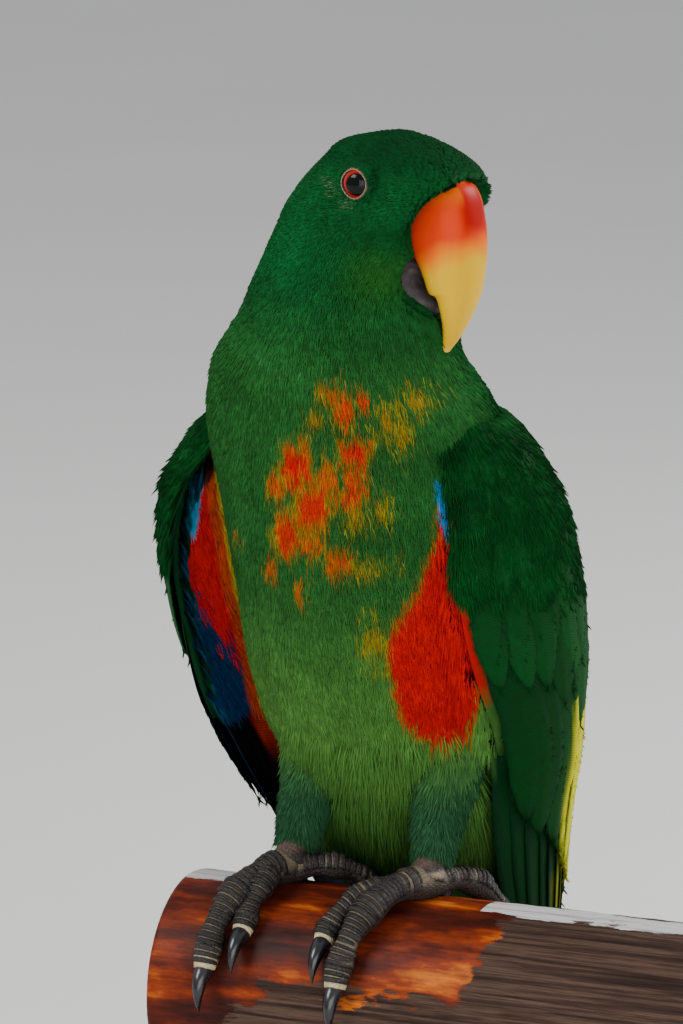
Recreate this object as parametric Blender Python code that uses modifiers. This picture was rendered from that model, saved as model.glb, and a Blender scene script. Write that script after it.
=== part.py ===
"""Eclectus parrot, adult male, life size, standing on a cut length of rail held by a display stand.

Metres, +Z up. The origin is on the underside of the base, below the rail's axis, midway between the feet.
The bird faces -Y with its head turned to its own left, +X. Heights in the body's tables are above the rail's top.
"""

import math
import random

import bmesh
import bpy
from mathutils import Matrix, Vector

MM = 0.001
GAP = 0.3 * MM

# The stand and the rail
BASE_SIZE = (200 * MM, 180 * MM, 16 * MM)
BASE_CENTRE = (20 * MM, 32 * MM)
BASE_EDGE = 2.5 * MM
ROD_RADIUS = 4 * MM
ROD_PLACES = (-28 * MM, 74 * MM)
RAIL_RADIUS = 28 * MM
RAIL_ENDS = (-48 * MM, 114 * MM)
RAIL_TOP = 122 * MM
RAIL_FLAT_DEPTH = 24 * MM
RAIL_FLAT_ANGLE = math.radians(48)
RAIL_SIDES = 48
ROD_SIDES = 20

# The body from vent to crown: x, y, height, half width, depth behind, depth in front, turn and forward lean of each
# section
BODY_STATIONS = (
    (0, 68, -1, 8, 6, 8, 0, 40),
    (0, 62, 7, 16, 12, 15, 0, 36),
    (-2, 52, 21, 28, 21, 25.5, 0, 32),
    (-2.8, 39, 40, 36.3, 29, 31, 0, 28),
    (-1.4, 27, 61, 38.9, 34, 34.5, 0, 24),
    (0, 17, 84, 39, 36, 36, 0, 20),
    (0, 8, 106, 38.8, 35, 35, 0, 17),
    (-2, 1, 126, 37, 32, 32, 6, 13),
    (-3, -3.5, 141, 31.8, 28.5, 28.5, 16, 9),
    (-0.6, -4.2, 153, 27.4, 25.5, 25.5, 30, 5),
    (0, -4, 163, 24, 22.5, 22.5, 48, 2),
    (2, -3.2, 171.5, 21.6, 22.8, 22.8, 66, 0),
    (7, -2.7, 178.5, 19.8, 25.6, 26.8, 76, 0),
    (11.1, -1.8, 184.5, 18.4, 26.2, 22.8, 79, 0),
    (11.6, -1.9, 190, 17, 21.2, 20.4, 79, 0),
    (11.2, -1.7, 194.4, 13.2, 15.2, 14.4, 79, 0),
    (9.4, -1.5, 197, 8, 7.8, 7, 79, 0),
    (8.4, -1.4, 198.4, 3.6, 3.6, 3.4, 79, 0),
)
# The face is blunter than an ellipse from the first to the second place along the sections
FACE_BLUNT = 0.66
FACE_PLACES = (11.2, 13.0)
BODY_SIDES = 24
TRUNK_STATIONS = 8
NECK_CUT = (0.0, 0.0, 134 * MM)
NECK_CUT_LEAN = 12
HEAD_CUT = (0.0, 0.0, 166 * MM)
HEAD_CUT_LEAN = -8
CUTTER_REACH = 0.3

# The head's own frame: forward, sideways and up from its centre
HEAD_CENTRE = (12 * MM, -2 * MM)
HEAD_TURN = math.radians(79)
EYE_FORWARD = -0.2 * MM
EYE_HEIGHT = 187.5 * MM
EYE_RADIUS = 5.4 * MM
EYE_DEPTH = 4.0 * MM
LID_RADIUS = 3.9 * MM
LID_THICKNESS = 0.75 * MM
NOSTRIL = (19.6 * MM, 5.2 * MM, 187.2 * MM)
NOSTRIL_RADIUS = 1.1 * MM
# The hollows round the bill's root and under its lower half: centres in the head's frame and half sizes
FACE_HOLLOW = ((22 * MM, 0.0, 175 * MM), (13, 19, 13))
CHIN_HOLLOW = ((13 * MM, 0.0, 163 * MM), (9, 13, 8.5))
HOLLOW_SEGMENTS = 14
HOLLOW_RINGS = 8
GAPE_RADIUS = 1.0 * MM
GAPE_PATH = ((9.6, 8.5, 166.5), (9.6, 12, 166.2), (7.2, 15, 166))

# Bill sections: upper edge (forward, height), lower edge (forward, height), half width
UPPER_BILL = (
    (14.0, 188.8, -1.0, 174.0, 7.8),
    (21.8, 186.6, 4.6, 170.6, 9.6),
    (24.6, 178.0, 8.6, 166.6, 9.6),
    (25.2, 169.4, 10.8, 162.4, 8.8),
    (24.6, 162.4, 12.0, 159.0, 7.6),
    (23.8, 158.8, 14.2, 158.0, 6.7),
    (21.8, 153.4, 15.2, 153.2, 4.9),
    (18.9, 148.0, 15.1, 148.2, 2.9),
    (15.9, 143.9, 14.1, 144.2, 1.2),
)
LOWER_BILL = (
    (2.0, 173.0, -7.0, 164.0, 8.2),
    (7.6, 166.4, -1.5, 158.4, 9.4),
    (11.0, 161.6, 3.8, 154.2, 8.8),
    (13.6, 158.4, 9.2, 152.2, 7.0),
    (14.8, 156.6, 12.8, 153.2, 3.4),
)
BILL_SIDES = 16
BILL_ROWS = 2

# A wing's rows from shoulder to tip, on the bird's left: height, then the leading, middle and back edge points
LEFT_WING = (
    (127.5, 27, -9, 35.5, 12, 16, 39),
    (118, 31.5, -14, 44, 13, 11, 46),
    (104, 34.5, -17, 50.5, 17, 8.5, 55),
    (84, 35, -14, 52.5, 25, 7, 63),
    (60, 35.5, -4, 51, 35, 6.5, 71),
    (35, 35, 14, 45, 47, 7, 78),
    (10, 32, 24, 38.5, 57, 10, 84),
    (-15, 30, 40, 33, 68, 15, 88),
    (-38, 28, 60, 28.5, 77, 20.5, 90),
    (-52, 26.5, 74, 27, 80, 24.5, 85),
)
RIGHT_WING = (
    (127.5, 32, -7, 37, 12, 16, 39),
    (118, 39, -7, 44.5, 13, 11, 46),
    (104, 50, -5, 51.5, 20, 8.5, 55),
    (84, 55, -1, 53.5, 28, 7, 63),
    (60, 54, 5, 52, 38, 6.5, 71),
    (38, 50, 12, 47, 48, 7, 77),
    (10, 40.7, 25, 40.7, 57, 10, 84),
    (-15, 33.5, 41, 34, 68, 15, 88),
    (-38, 28, 60, 28.5, 77, 20.5, 90),
    (-52, 26.5, 74, 27, 80, 24.5, 85),
)
WING_THICKNESS = (3.6 * MM, 2.6 * MM)
WING_ACROSS = 5
WING_DOWN = 7
ARM_END = 0.56

# Tiers of wing feathers, the lowest first: name, count, root and tip places down the wing at its leading edge and
# at its back, first and last place across at the root and at the tip, width, lift of the tips, fall across a
# vane and points across
WING_TIERS = (
    ("primary", 6, (0.44, 0.48), (1.0, 0.86), (0.08, 0.62), (0.16, 0.8), 12, 0.0, 0.8, 2),
    ("secondary", 5, (0.38, 0.36), (0.7, 0.84), (0.13, 0.93), (0.15, 0.93), 18.5, 1.9, 1.6, 2),
    ("greater_covert", 5, (0.22, 0.22), (0.42, 0.52), (0.1, 0.91), (0.11, 0.9), 19.5, 3.0, 1.2, 2),
    ("median_covert", 5, (0.1, 0.1), (0.28, 0.34), (0.1, 0.9), (0.11, 0.89), 17, 3.2, 1.1, 2),
    ("lesser_covert", 4, (0.0, 0.0), (0.15, 0.19), (0.14, 0.86), (0.14, 0.86), 17, 2.8, 1.1, 2),
)
COVERT_DEPTH = 2.6 * MM
VANE_THICKNESS = 0.6 * MM
VANE_SINK = 1.5 * MM
VANE_CAMBER = 0.25 * MM
VANE_SECTIONS = (0.0, 0.4, 0.8, 0.94, 1.0)
PRIMARY_STEP = 0.85 * MM

# The tail
TAIL_ROOT = (0.0, 60 * MM, 12 * MM)
TAIL_LENGTH = 114 * MM
TAIL_DROP = math.radians(68)
TAIL_CORE_SIDES = 12
TAIL_CORE = ((-0.06, 8.5, 9), (0.1, 11, 8.5), (0.26, 10.5, 5.5), (0.38, 7, 2.6))
TAIL_TILT = 0.9 * MM
PAIR_STEP = 0.9
# Tiers of tail feathers: count, length, root place, half spread at the root and the tip, height above the core's
# middle at the root and the tip, fall of the outermost tips and of their length, width
TAIL_TIERS = (
    (9, 114, 0.04, 6, 24, 0.0, 0.4, 4.0, 10, 12.5),
    (4, 50, -0.02, 6, 12, 2.8, 4.6, 1.0, 6, 12),
    (4, 62, -0.02, 6, 13, -3.4, -5.6, -1.0, 8, 12),
)

# The legs: the hip, knee end of the feathered thigh, ankle and foot, all at one side
HIP = (17.5 * MM, 26 * MM, 46 * MM)
THIGH_END = (19.5 * MM, 6 * MM, 11.5 * MM)
FOOT_PLACE = (19.5 * MM, 1 * MM, 5.2 * MM)
THIGH_RADII = (13 * MM, 10.8 * MM, 7.6 * MM, 5.2 * MM)
THIGH_SIDES = 16
SHANK_RADIUS = 3.9 * MM
SHANK_SIDES = 12
ANKLE_RADIUS = 5.6 * MM
TOE_SIDES = 6
TOE_STEPS = 9
TOE_ARCH = 1.6
TOE_SINK = 0.7 * MM
SCUTE_STEP = 4.6 * MM
SCUTE_RAISE = 0.45 * MM
# Each toe: name, end x, end angle round the rail from its top (front is negative), root and end radius
RIGHT_TOES = (
    ("outer_front", -30, -70, 4.6, 3.4),
    ("inner_front", -22, -50, 4.0, 3.0),
    ("outer_back", -28, 62, 4.2, 3.1),
    ("inner_back", -3, 24, 3.8, 2.8),
)
LEFT_TOES = (
    ("outer_front", 7, -72, 4.6, 3.4),
    ("inner_front", 1, -50, 4.0, 3.0),
    ("outer_back", 31, 60, 4.2, 3.1),
    ("inner_back", 15, 58, 3.8, 2.8),
)
CLAW_LENGTH = 12 * MM
CLAW_RADIUS = 2.3 * MM
CLAW_CURL = math.radians(46)
CLAW_STEPS = 5
CLAW_SIDES = 7
CLAW_LIFT = 0.3 * MM
CLAW_STRAIGHT = 0.8 * MM
CLAW_TIP = 0.15 * MM

for old in list(bpy.data.objects):
    bpy.data.objects.remove(old)


def new_collection(name):
    found = bpy.data.collections.new(name)
    bpy.context.scene.collection.children.link(found)
    return found


PARROT = new_collection("eclectus_parrot")
CUTTERS = new_collection("cutters")


def material(name, colour, roughness, metallic=0.0):
    made = bpy.data.materials.new(name)
    made.use_nodes = True
    shader = made.node_tree.nodes["Principled BSDF"]
    shader.inputs["Base Color"].default_value = (*colour, 1.0)
    shader.inputs["Roughness"].default_value = roughness
    shader.inputs["Metallic"].default_value = metallic
    return made


MATERIALS = {
    "green_plumage": material("green_plumage", (0.02, 0.12, 0.03), 0.7),
    "wing_green": material("wing_green", (0.01, 0.1, 0.02), 0.55),
    "upper_bill": material("upper_bill", (0.95, 0.3, 0.02), 0.25),
    "lower_bill": material("lower_bill", (0.04, 0.035, 0.045), 0.4),
    "eye": material("eye", (0.02, 0.01, 0.01), 0.05),
    "foot_skin": material("foot_skin", (0.035, 0.03, 0.03), 0.6),
    "claw_horn": material("claw_horn", (0.01, 0.01, 0.015), 0.25),
    "rail_wood": material("rail_wood", (0.25, 0.09, 0.04), 0.45),
    "base_wood": material("base_wood", (0.12, 0.06, 0.035), 0.4),
    "rod_steel": material("rod_steel", (0.55, 0.55, 0.55), 0.3, 1.0),
}


def mesh_object(name, points, faces, finish, collection=None):
    mesh = bpy.data.meshes.new(name)
    mesh.from_pydata([tuple(p) for p in points], [], faces)
    mesh.validate()
    made = bpy.data.objects.new(name, mesh)
    (collection or PARROT).objects.link(made)
    if finish:
        mesh.materials.append(MATERIALS[finish])
    turn_faces_out(made)
    mesh.shade_smooth()
    mesh.set_sharp_from_angle(angle=math.radians(40))
    return made


def turn_faces_out(made):
    cage = bmesh.new()
    cage.from_mesh(made.data)
    bmesh.ops.triangulate(cage, faces=cage.faces)
    bmesh.ops.recalc_face_normals(cage, faces=cage.faces)
    if cage.calc_volume(signed=True) < 0:
        bmesh.ops.reverse_faces(cage, faces=cage.faces)
    cage.to_mesh(made.data)
    cage.free()


def loft(name, rings, finish, collection=None):
    """A closed skin over rings of equal count, with a fan at each end."""
    sides = len(rings[0])
    points = [p for ring in rings for p in ring]
    faces = []
    for row in range(len(rings) - 1):
        for side in range(sides):
            a = row * sides + side
            b = row * sides + (side + 1) % sides
            faces.append((a, b, b + sides))
            faces.append((a, b + sides, a + sides))
    for row, order in ((0, -1), (len(rings) - 1, 1)):
        centre = len(points)
        points.append(sum(rings[row], Vector()) / sides)
        for side in range(sides):
            rim = (row * sides + side, row * sides + (side + 1) % sides)
            faces.append((rim[0], rim[1], centre) if order > 0 else (rim[1], rim[0], centre))
    return mesh_object(name, points, faces, finish, collection)


def smooth_row(rows, place):
    """Catmull-Rom reading of a table of rows at a fractional place."""
    last = len(rows) - 1
    index = min(int(place), last - 1)
    part = place - index
    before, start, end, after = (rows[min(max(index + k, 0), last)] for k in (-1, 0, 1, 2))
    found = []
    for p0, p1, p2, p3 in zip(before, start, end, after):
        found.append(0.5 * (2 * p1 + (p2 - p0) * part + (2 * p0 - 5 * p1 + 4 * p2 - p3) * part ** 2
                            + (3 * p1 - p0 - 3 * p2 + p3) * part ** 3))
    return found


def body_ring(place, grow=0.0):
    x, y, height, half_width, back_depth, front_depth, turn, lean = smooth_row(BODY_STATIONS, place)
    centre = Vector((x * MM, y * MM, RAIL_TOP + height * MM))
    turning = Matrix.Rotation(math.radians(turn), 3, "Z") @ Matrix.Rotation(math.radians(lean), 3, "X")
    side = turning @ Vector((half_width * MM + grow, 0, 0))
    back = turning @ Vector((0, -back_depth * MM - grow, 0))
    front = turning @ Vector((0, -front_depth * MM - grow, 0))
    part = min(max((place - FACE_PLACES[0]) / (FACE_PLACES[1] - FACE_PLACES[0]), 0), 1)
    blunt = 1 - (1 - FACE_BLUNT) * part * part * (3 - 2 * part)
    ring = []
    for step in range(BODY_SIDES):
        angle = math.tau * step / BODY_SIDES
        across = math.cos(angle)
        depth = math.sin(angle)
        if depth > 0:
            across = math.copysign(abs(across) ** blunt, across)
            ring.append(centre + side * across + front * depth ** blunt)
        else:
            ring.append(centre + side * across + back * depth)
    return ring


def body_form(name, grow=0.0, collection=None, finish=None):
    places = [step / 2 for step in range(TRUNK_STATIONS * 2)]
    places += range(TRUNK_STATIONS, len(BODY_STATIONS))
    rings = [body_ring(place, grow) for place in places]
    return loft(name, rings, finish, collection)


def tube(name, path, radii, sides, finish, collection=None, up=Vector((0, 0, 1))):
    """A round bar along a path, its sections square to the path."""
    rings = []
    for index, point in enumerate(path):
        ahead = path[min(index + 1, len(path) - 1)] - path[max(index - 1, 0)]
        ahead.normalize()
        across = ahead.cross(up).normalized()
        lift = across.cross(ahead).normalized()
        ring = []
        for step in range(sides):
            angle = math.tau * step / sides
            ring.append(point + (across * math.cos(angle) + lift * math.sin(angle)) * radii[index])
        rings.append(ring)
    return loft(name, rings, finish, collection)


def boolean(target, other, operation, solver="EXACT"):
    """One applied Boolean with an object or a collection, whose objects are then removed."""
    change = target.modifiers.new(operation, "BOOLEAN")
    change.operation = operation
    change.solver = solver
    if isinstance(other, bpy.types.Collection):
        change.operand_type = "COLLECTION"
        change.collection = other
    else:
        change.object = other
    bpy.context.view_layer.update()
    result = bpy.data.meshes.new_from_object(target.evaluated_get(bpy.context.evaluated_depsgraph_get()))
    target.modifiers.clear()
    target.data = result
    keep_largest(target)


def fuse(target, pieces):
    gathered = new_collection(target.name + "_pieces")
    for piece in pieces:
        for home in list(piece.users_collection):
            home.objects.unlink(piece)
        gathered.objects.link(piece)
    boolean(target, gathered, "UNION")
    for piece in pieces:
        bpy.data.objects.remove(piece)
    bpy.data.collections.remove(gathered)


def cut_away(target, cutter):
    boolean(target, cutter, "DIFFERENCE")
    bpy.data.objects.remove(cutter)


def keep_largest(made):
    """Leaves only the largest closed surface, cleaned of slivers and in triangles."""
    cage = bmesh.new()
    cage.from_mesh(made.data)
    bmesh.ops.remove_doubles(cage, verts=cage.verts, dist=0.00001)
    bmesh.ops.dissolve_degenerate(cage, edges=cage.edges, dist=0.00001)
    bmesh.ops.triangulate(cage, faces=cage.faces)
    left = set(cage.faces)
    groups = []
    while left:
        seed = left.pop()
        group = {seed}
        front = [seed]
        while front:
            face = front.pop()
            for edge in face.edges:
                for near in edge.link_faces:
                    if near in left:
                        left.discard(near)
                        group.add(near)
                        front.append(near)
        groups.append(group)
    groups.sort(key=lambda group: -sum(face.calc_area() for face in group))
    for group in groups[1:]:
        bmesh.ops.delete(cage, geom=list(group), context="FACES")
    loose = [v for v in cage.verts if not v.link_faces]
    bmesh.ops.delete(cage, geom=loose, context="VERTS")
    cage.to_mesh(made.data)
    cage.free()


def slab(name, point, lean, above):
    """A large block on one side of a leaning plane, used to part the body."""
    bpy.ops.mesh.primitive_cube_add(size=CUTTER_REACH)
    block = bpy.context.object
    block.name = name
    offset = (CUTTER_REACH / 2 - GAP / 2) * (1 if above else -1)
    turning = Matrix.Rotation(math.radians(lean), 4, "X")
    block.data.transform(turning @ Matrix.Translation((0, 0, offset)))
    block.data.transform(Matrix.Translation((point[0], point[1], RAIL_TOP + point[2])))
    for home in list(block.users_collection):
        home.objects.unlink(block)
    CUTTERS.objects.link(block)
    block.hide_render = True
    block.display_type = "WIRE"
    return block


def head_point(forward, sideways, height):
    """A place in the head's frame: forward along the bill, sideways to the bird's left."""
    ahead = Vector((math.sin(HEAD_TURN), -math.cos(HEAD_TURN), 0))
    left = Vector((-ahead.y, ahead.x, 0))
    centre = Vector((HEAD_CENTRE[0], HEAD_CENTRE[1], RAIL_TOP + height))
    return centre + ahead * forward + left * sideways


def bill_form(name, stations, grow=0.0, finish=None, collection=None):
    rings = []
    count = (len(stations) - 1) * BILL_ROWS
    for step in range(count + 1):
        top_f, top_h, low_f, low_h, half_width = (v * MM for v in smooth_row(stations, step / BILL_ROWS))
        long_f = (top_f - low_f) / 2
        long_h = (top_h - low_h) / 2
        stretch = 1 + grow / math.hypot(long_f, long_h)
        ring = []
        for side in range(BILL_SIDES):
            angle = math.tau * side / BILL_SIDES
            along = math.cos(angle) * stretch
            across = math.copysign(abs(math.sin(angle)) ** 0.8, math.sin(angle)) * (half_width + grow)
            ring.append(head_point((top_f + low_f) / 2 + long_f * along, across,
                                   (top_h + low_h) / 2 + long_h * along))
        rings.append(ring)
    return loft(name, rings, finish, collection)


def ball(name, centre, radius, finish, collection=None, segments=14, rings=8, half_sizes=(1, 1, 1)):
    bpy.ops.mesh.primitive_uv_sphere_add(segments=segments, ring_count=rings, radius=radius)
    made = bpy.context.object
    made.name = name
    made.data.transform(Matrix.Diagonal((*half_sizes, 1)))
    made.data.transform(Matrix.Translation(centre))
    for home in list(made.users_collection):
        home.objects.unlink(made)
    (collection or PARROT).objects.link(made)
    made.data.materials.clear()
    if finish:
        made.data.materials.append(MATERIALS[finish])
    turn_faces_out(made)
    made.data.shade_smooth()
    return made


def eye_centre(side):
    half_width = smooth_row(BODY_STATIONS, 13)[3] * MM
    return head_point(EYE_FORWARD, side * (half_width - EYE_DEPTH), EYE_HEIGHT)


def body_parts():
    """Torso, neck and head, one form parted by thin cuts."""
    made = {}
    plans = (
        ("torso", (("high", NECK_CUT, NECK_CUT_LEAN, True),)),
        ("neck", (("low", NECK_CUT, NECK_CUT_LEAN, False), ("high", HEAD_CUT, HEAD_CUT_LEAN, True))),
        ("head", (("low", HEAD_CUT, HEAD_CUT_LEAN, False),)),
    )
    for name, cuts in plans:
        piece = body_form(name, finish="green_plumage")
        for label, point, lean, above in cuts:
            cut_away(piece, slab(name + "_cut_" + label, point, lean, above))
        made[name] = piece
    return made


def face_parts(head, neck):
    """Bill, eyes, lids, nostrils and the line of the mouth."""
    upper = bill_form("bill_upper", UPPER_BILL, finish="upper_bill")
    lower = bill_form("bill_lower", LOWER_BILL, finish="lower_bill")
    cut_away(lower, bill_form("upper_room", UPPER_BILL, GAP, collection=CUTTERS))
    cut_away(neck, bill_form("lower_room", LOWER_BILL, GAP, collection=CUTTERS))
    cut_away(neck, bill_form("upper_room", UPPER_BILL, GAP, collection=CUTTERS))
    lids = []
    for side in (-1, 1):
        centre = eye_centre(side)
        outward = (head_point(0, side, 0) - head_point(0, 0, 0)).normalized()
        bpy.ops.mesh.primitive_torus_add(major_segments=14, minor_segments=5,
                                         major_radius=LID_RADIUS, minor_radius=LID_THICKNESS)
        lid = bpy.context.object
        turning = outward.to_track_quat("Z", "Y").to_matrix().to_4x4()
        lid.data.transform(Matrix.Translation(centre + outward * (EYE_DEPTH - 0.5 * MM)) @ turning)
        turn_faces_out(lid)
        lids.append(lid)
    fuse(head, lids)
    for side, name in ((-1, "eye_right"), (1, "eye_left")):
        cut_away(head, ball("socket", eye_centre(side), EYE_RADIUS + GAP, None, CUTTERS))
        ball(name, eye_centre(side), EYE_RADIUS, "eye")
        place = head_point(NOSTRIL[0], side * NOSTRIL[1], NOSTRIL[2])
        cut_away(head, ball("nostril", place, NOSTRIL_RADIUS, None, CUTTERS, 8, 6))
        gape = [head_point(f * MM, side * s * MM, h * MM) for f, s, h in GAPE_PATH]
        cut_away(head, tube("gape", gape, [GAPE_RADIUS] * len(gape), 6, None, CUTTERS))
    for place, half_sizes in (FACE_HOLLOW, CHIN_HOLLOW):
        for target in (head, neck):
            cut_away(target, ball("hollow", head_point(*place), MM, None, CUTTERS, HOLLOW_SEGMENTS, HOLLOW_RINGS,
                                  half_sizes))
    cut_away(head, bill_form("upper_room", UPPER_BILL, GAP, collection=CUTTERS))
    cut_away(head, bill_form("lower_room", LOWER_BILL, GAP, collection=CUTTERS))


def wing_point(rows, side, across, down):
    """The wing's outer surface: across runs from the leading edge to the back, down from shoulder to tip."""
    height, lead_x, lead_y, mid_x, mid_y, back_x, back_y = smooth_row(rows, down * (len(rows) - 1))
    lead = Vector((lead_x, lead_y))
    mid = Vector((mid_x, mid_y))
    back = Vector((back_x, back_y))
    control = mid * 2 - (lead + back) / 2
    flat = lead * (1 - across) ** 2 + control * 2 * across * (1 - across) + back * across ** 2
    return Vector((side * flat.x * MM, flat.y * MM, RAIL_TOP + height * MM))


def wing_normal(rows, side, across, down):
    step = 0.02
    low_a, high_a = max(across - step, 0), min(across + step, 1)
    low_d, high_d = max(down - step, 0), min(down + step, 1)
    along_a = wing_point(rows, side, high_a, down) - wing_point(rows, side, low_a, down)
    along_d = wing_point(rows, side, across, high_d) - wing_point(rows, side, across, low_d)
    normal = along_a.cross(along_d).normalized()
    return normal if normal.x * side > 0 or abs(normal.x) < 0.05 and normal.y > 0 else -normal


def sheet_grid(name, outer, inner, width, finish):
    """A closed sheet between an outer and an inner grid of points, split into triangles alike on both faces."""
    rows = len(outer) // width
    shift = len(outer)
    faces = []
    for row in range(rows - 1):
        for column in range(width - 1):
            a = row * width + column
            for tri in ((a, a + 1, a + width + 1), (a, a + width + 1, a + width)):
                faces.append(tri)
                faces.append(tuple(v + shift for v in reversed(tri)))
    top = list(range(width))
    bottom = [(rows - 1) * width + c for c in range(width)]
    front = [r * width for r in range(rows)]
    back = [r * width + width - 1 for r in range(rows)]
    for rim in (top, bottom, front, back):
        for a, b in zip(rim, rim[1:]):
            faces.append((a, b, b + shift))
            faces.append((a, b + shift, a + shift))
    return mesh_object(name, outer + inner, faces, finish)


def wing_shell(name, rows, side, finish):
    """The arm of the wing under its feathers."""
    outer = []
    inner = []
    for row in range(WING_DOWN + 1):
        down = ARM_END * row / WING_DOWN
        for column in range(WING_ACROSS + 1):
            across = column / WING_ACROSS
            normal = wing_normal(rows, side, across, down)
            point = wing_point(rows, side, across, down) - normal * COVERT_DEPTH
            thick = WING_THICKNESS[0] + (WING_THICKNESS[1] - WING_THICKNESS[0]) * max(across, row / WING_DOWN)
            outer.append(point)
            inner.append(point - normal * thick)
    return sheet_grid(name, outer, inner, WING_ACROSS + 1, finish)


def vane(name, middle, normals, half_widths, tilt, points_across):
    """A feather's vane: two or three points across each section, its far edge lower by the tilt."""
    outer = []
    inner = []
    for index, point in enumerate(middle):
        ahead = middle[min(index + 1, len(middle) - 1)] - middle[max(index - 1, 0)]
        across = ahead.cross(normals[index]).normalized()
        lift = across.cross(ahead).normalized()
        lift = lift if lift.dot(normals[index]) > 0 else -lift
        for place in ((-1, 0, 1) if points_across == 3 else (-1, 1)):
            camber = VANE_CAMBER * (1 - abs(place))
            spot = point + across * place * half_widths[index] + lift * (camber - place * tilt / 2)
            outer.append(spot)
            inner.append(spot - lift * VANE_THICKNESS)
    return sheet_grid(name, outer, inner, points_across, None)


def vane_shape(part):
    """Half width along a vane as a share of its widest, narrow at the quill and rounded at the tip."""
    return min(0.45 + 1.6 * part, 1.0) * math.sqrt(max(1 - max(part - 0.72, 0) ** 2 / 0.0895, 0.02))


def wing_feathers(rows, side, chance):
    feathers = []
    for label, count, roots, tips, root_span, tip_span, width, lift, fall, points_across in WING_TIERS:
        for index in range(count):
            share = index / (count - 1)
            root_across = root_span[0] + (root_span[1] - root_span[0]) * share
            tip_across = tip_span[0] + (tip_span[1] - tip_span[0]) * share
            root_down = roots[0] + (roots[1] - roots[0]) * share
            tip_down = tips[0] + (tips[1] - tips[0]) * share + chance.uniform(-0.006, 0.006)
            base = -VANE_SINK - COVERT_DEPTH
            if label == "primary":
                base -= (count - 1 - index) * PRIMARY_STEP
            middle = []
            normals = []
            for part in VANE_SECTIONS:
                across = root_across + (tip_across - root_across) * part
                down = max(root_down + (tip_down - root_down) * part, 0)
                normal = wing_normal(rows, side, across, min(down, 0.96))
                height = base + (lift * MM + VANE_SINK) * min(part * 1.8, 1)
                middle.append(wing_point(rows, side, across, min(down, 1)) + normal * height)
                normals.append(normal)
            widths = [width / 2 * MM * vane_shape(part) for part in VANE_SECTIONS]
            feathers.append(vane(label, middle, normals, widths, fall * MM * side, points_across))
    return feathers


def wings():
    for name, rows, side in (("wing_left", LEFT_WING, 1), ("wing_right", RIGHT_WING, -1)):
        wing = wing_shell(name, rows, side, "wing_green")
        fuse(wing, wing_feathers(rows, side, random.Random(4 + side)))
        cut_away(wing, body_form("body_room", GAP, CUTTERS))


def tail():
    """The tail's core with its long feathers and the coverts over and under them."""
    root = Vector((TAIL_ROOT[0], TAIL_ROOT[1], RAIL_TOP + TAIL_ROOT[2]))
    ahead = Vector((0, math.cos(TAIL_DROP), -math.sin(TAIL_DROP)))
    lift = Vector((0, math.sin(TAIL_DROP), math.cos(TAIL_DROP)))
    side = Vector((1, 0, 0))
    rings = []
    for part, half_width, thick in TAIL_CORE:
        ring = []
        for step in range(TAIL_CORE_SIDES):
            angle = math.tau * step / TAIL_CORE_SIDES
            ring.append(root + ahead * TAIL_LENGTH * part + side * half_width * MM * math.cos(angle)
                        + lift * thick * MM / 2 * math.sin(angle))
        rings.append(ring)
    made = loft("tail", rings, "wing_green")
    feathers = []
    for count, length, start, root_spread, tip_spread, root_height, tip_height, fall, shorter, width in TAIL_TIERS:
        for index in range(count):
            place = index / (count - 1) * 2 - 1
            reach = (length - shorter * place * place) * MM
            middle = []
            for part in VANE_SECTIONS:
                spread = (root_spread + (tip_spread - root_spread) * part ** 1.2) * place
                height = root_height + (tip_height - root_height) * part - fall * abs(place) * min(part * 1.6, 1)
                height += PAIR_STEP * (place > 0) * math.copysign(min(part * 2, 1), fall)
                middle.append(root + ahead * (TAIL_LENGTH * start + reach * part)
                              + side * spread * MM + lift * height * MM)
            widths = [width / 2 * MM * vane_shape(part) for part in VANE_SECTIONS]
            tilt = TAIL_TILT * (1 if place > 0 else -1) * (-1 if fall < 0 else 1)
            feathers.append(vane("rectrix", middle, [lift] * len(VANE_SECTIONS), widths, tilt, 2))
    fuse(made, feathers)
    cut_away(made, body_form("body_room", GAP, CUTTERS))


def rail_form(name, grow=0.0, collection=None):
    length = RAIL_ENDS[1] - RAIL_ENDS[0]
    bpy.ops.mesh.primitive_cylinder_add(vertices=RAIL_SIDES, radius=RAIL_RADIUS + grow, depth=length)
    made = bpy.context.object
    made.name = name
    made.data.transform(Matrix.Rotation(math.radians(90), 4, "Y"))
    made.data.transform(Matrix.Translation((sum(RAIL_ENDS) / 2, 0, RAIL_TOP - RAIL_RADIUS)))
    for home in list(made.users_collection):
        home.objects.unlink(made)
    (collection or PARROT).objects.link(made)
    return made


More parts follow.
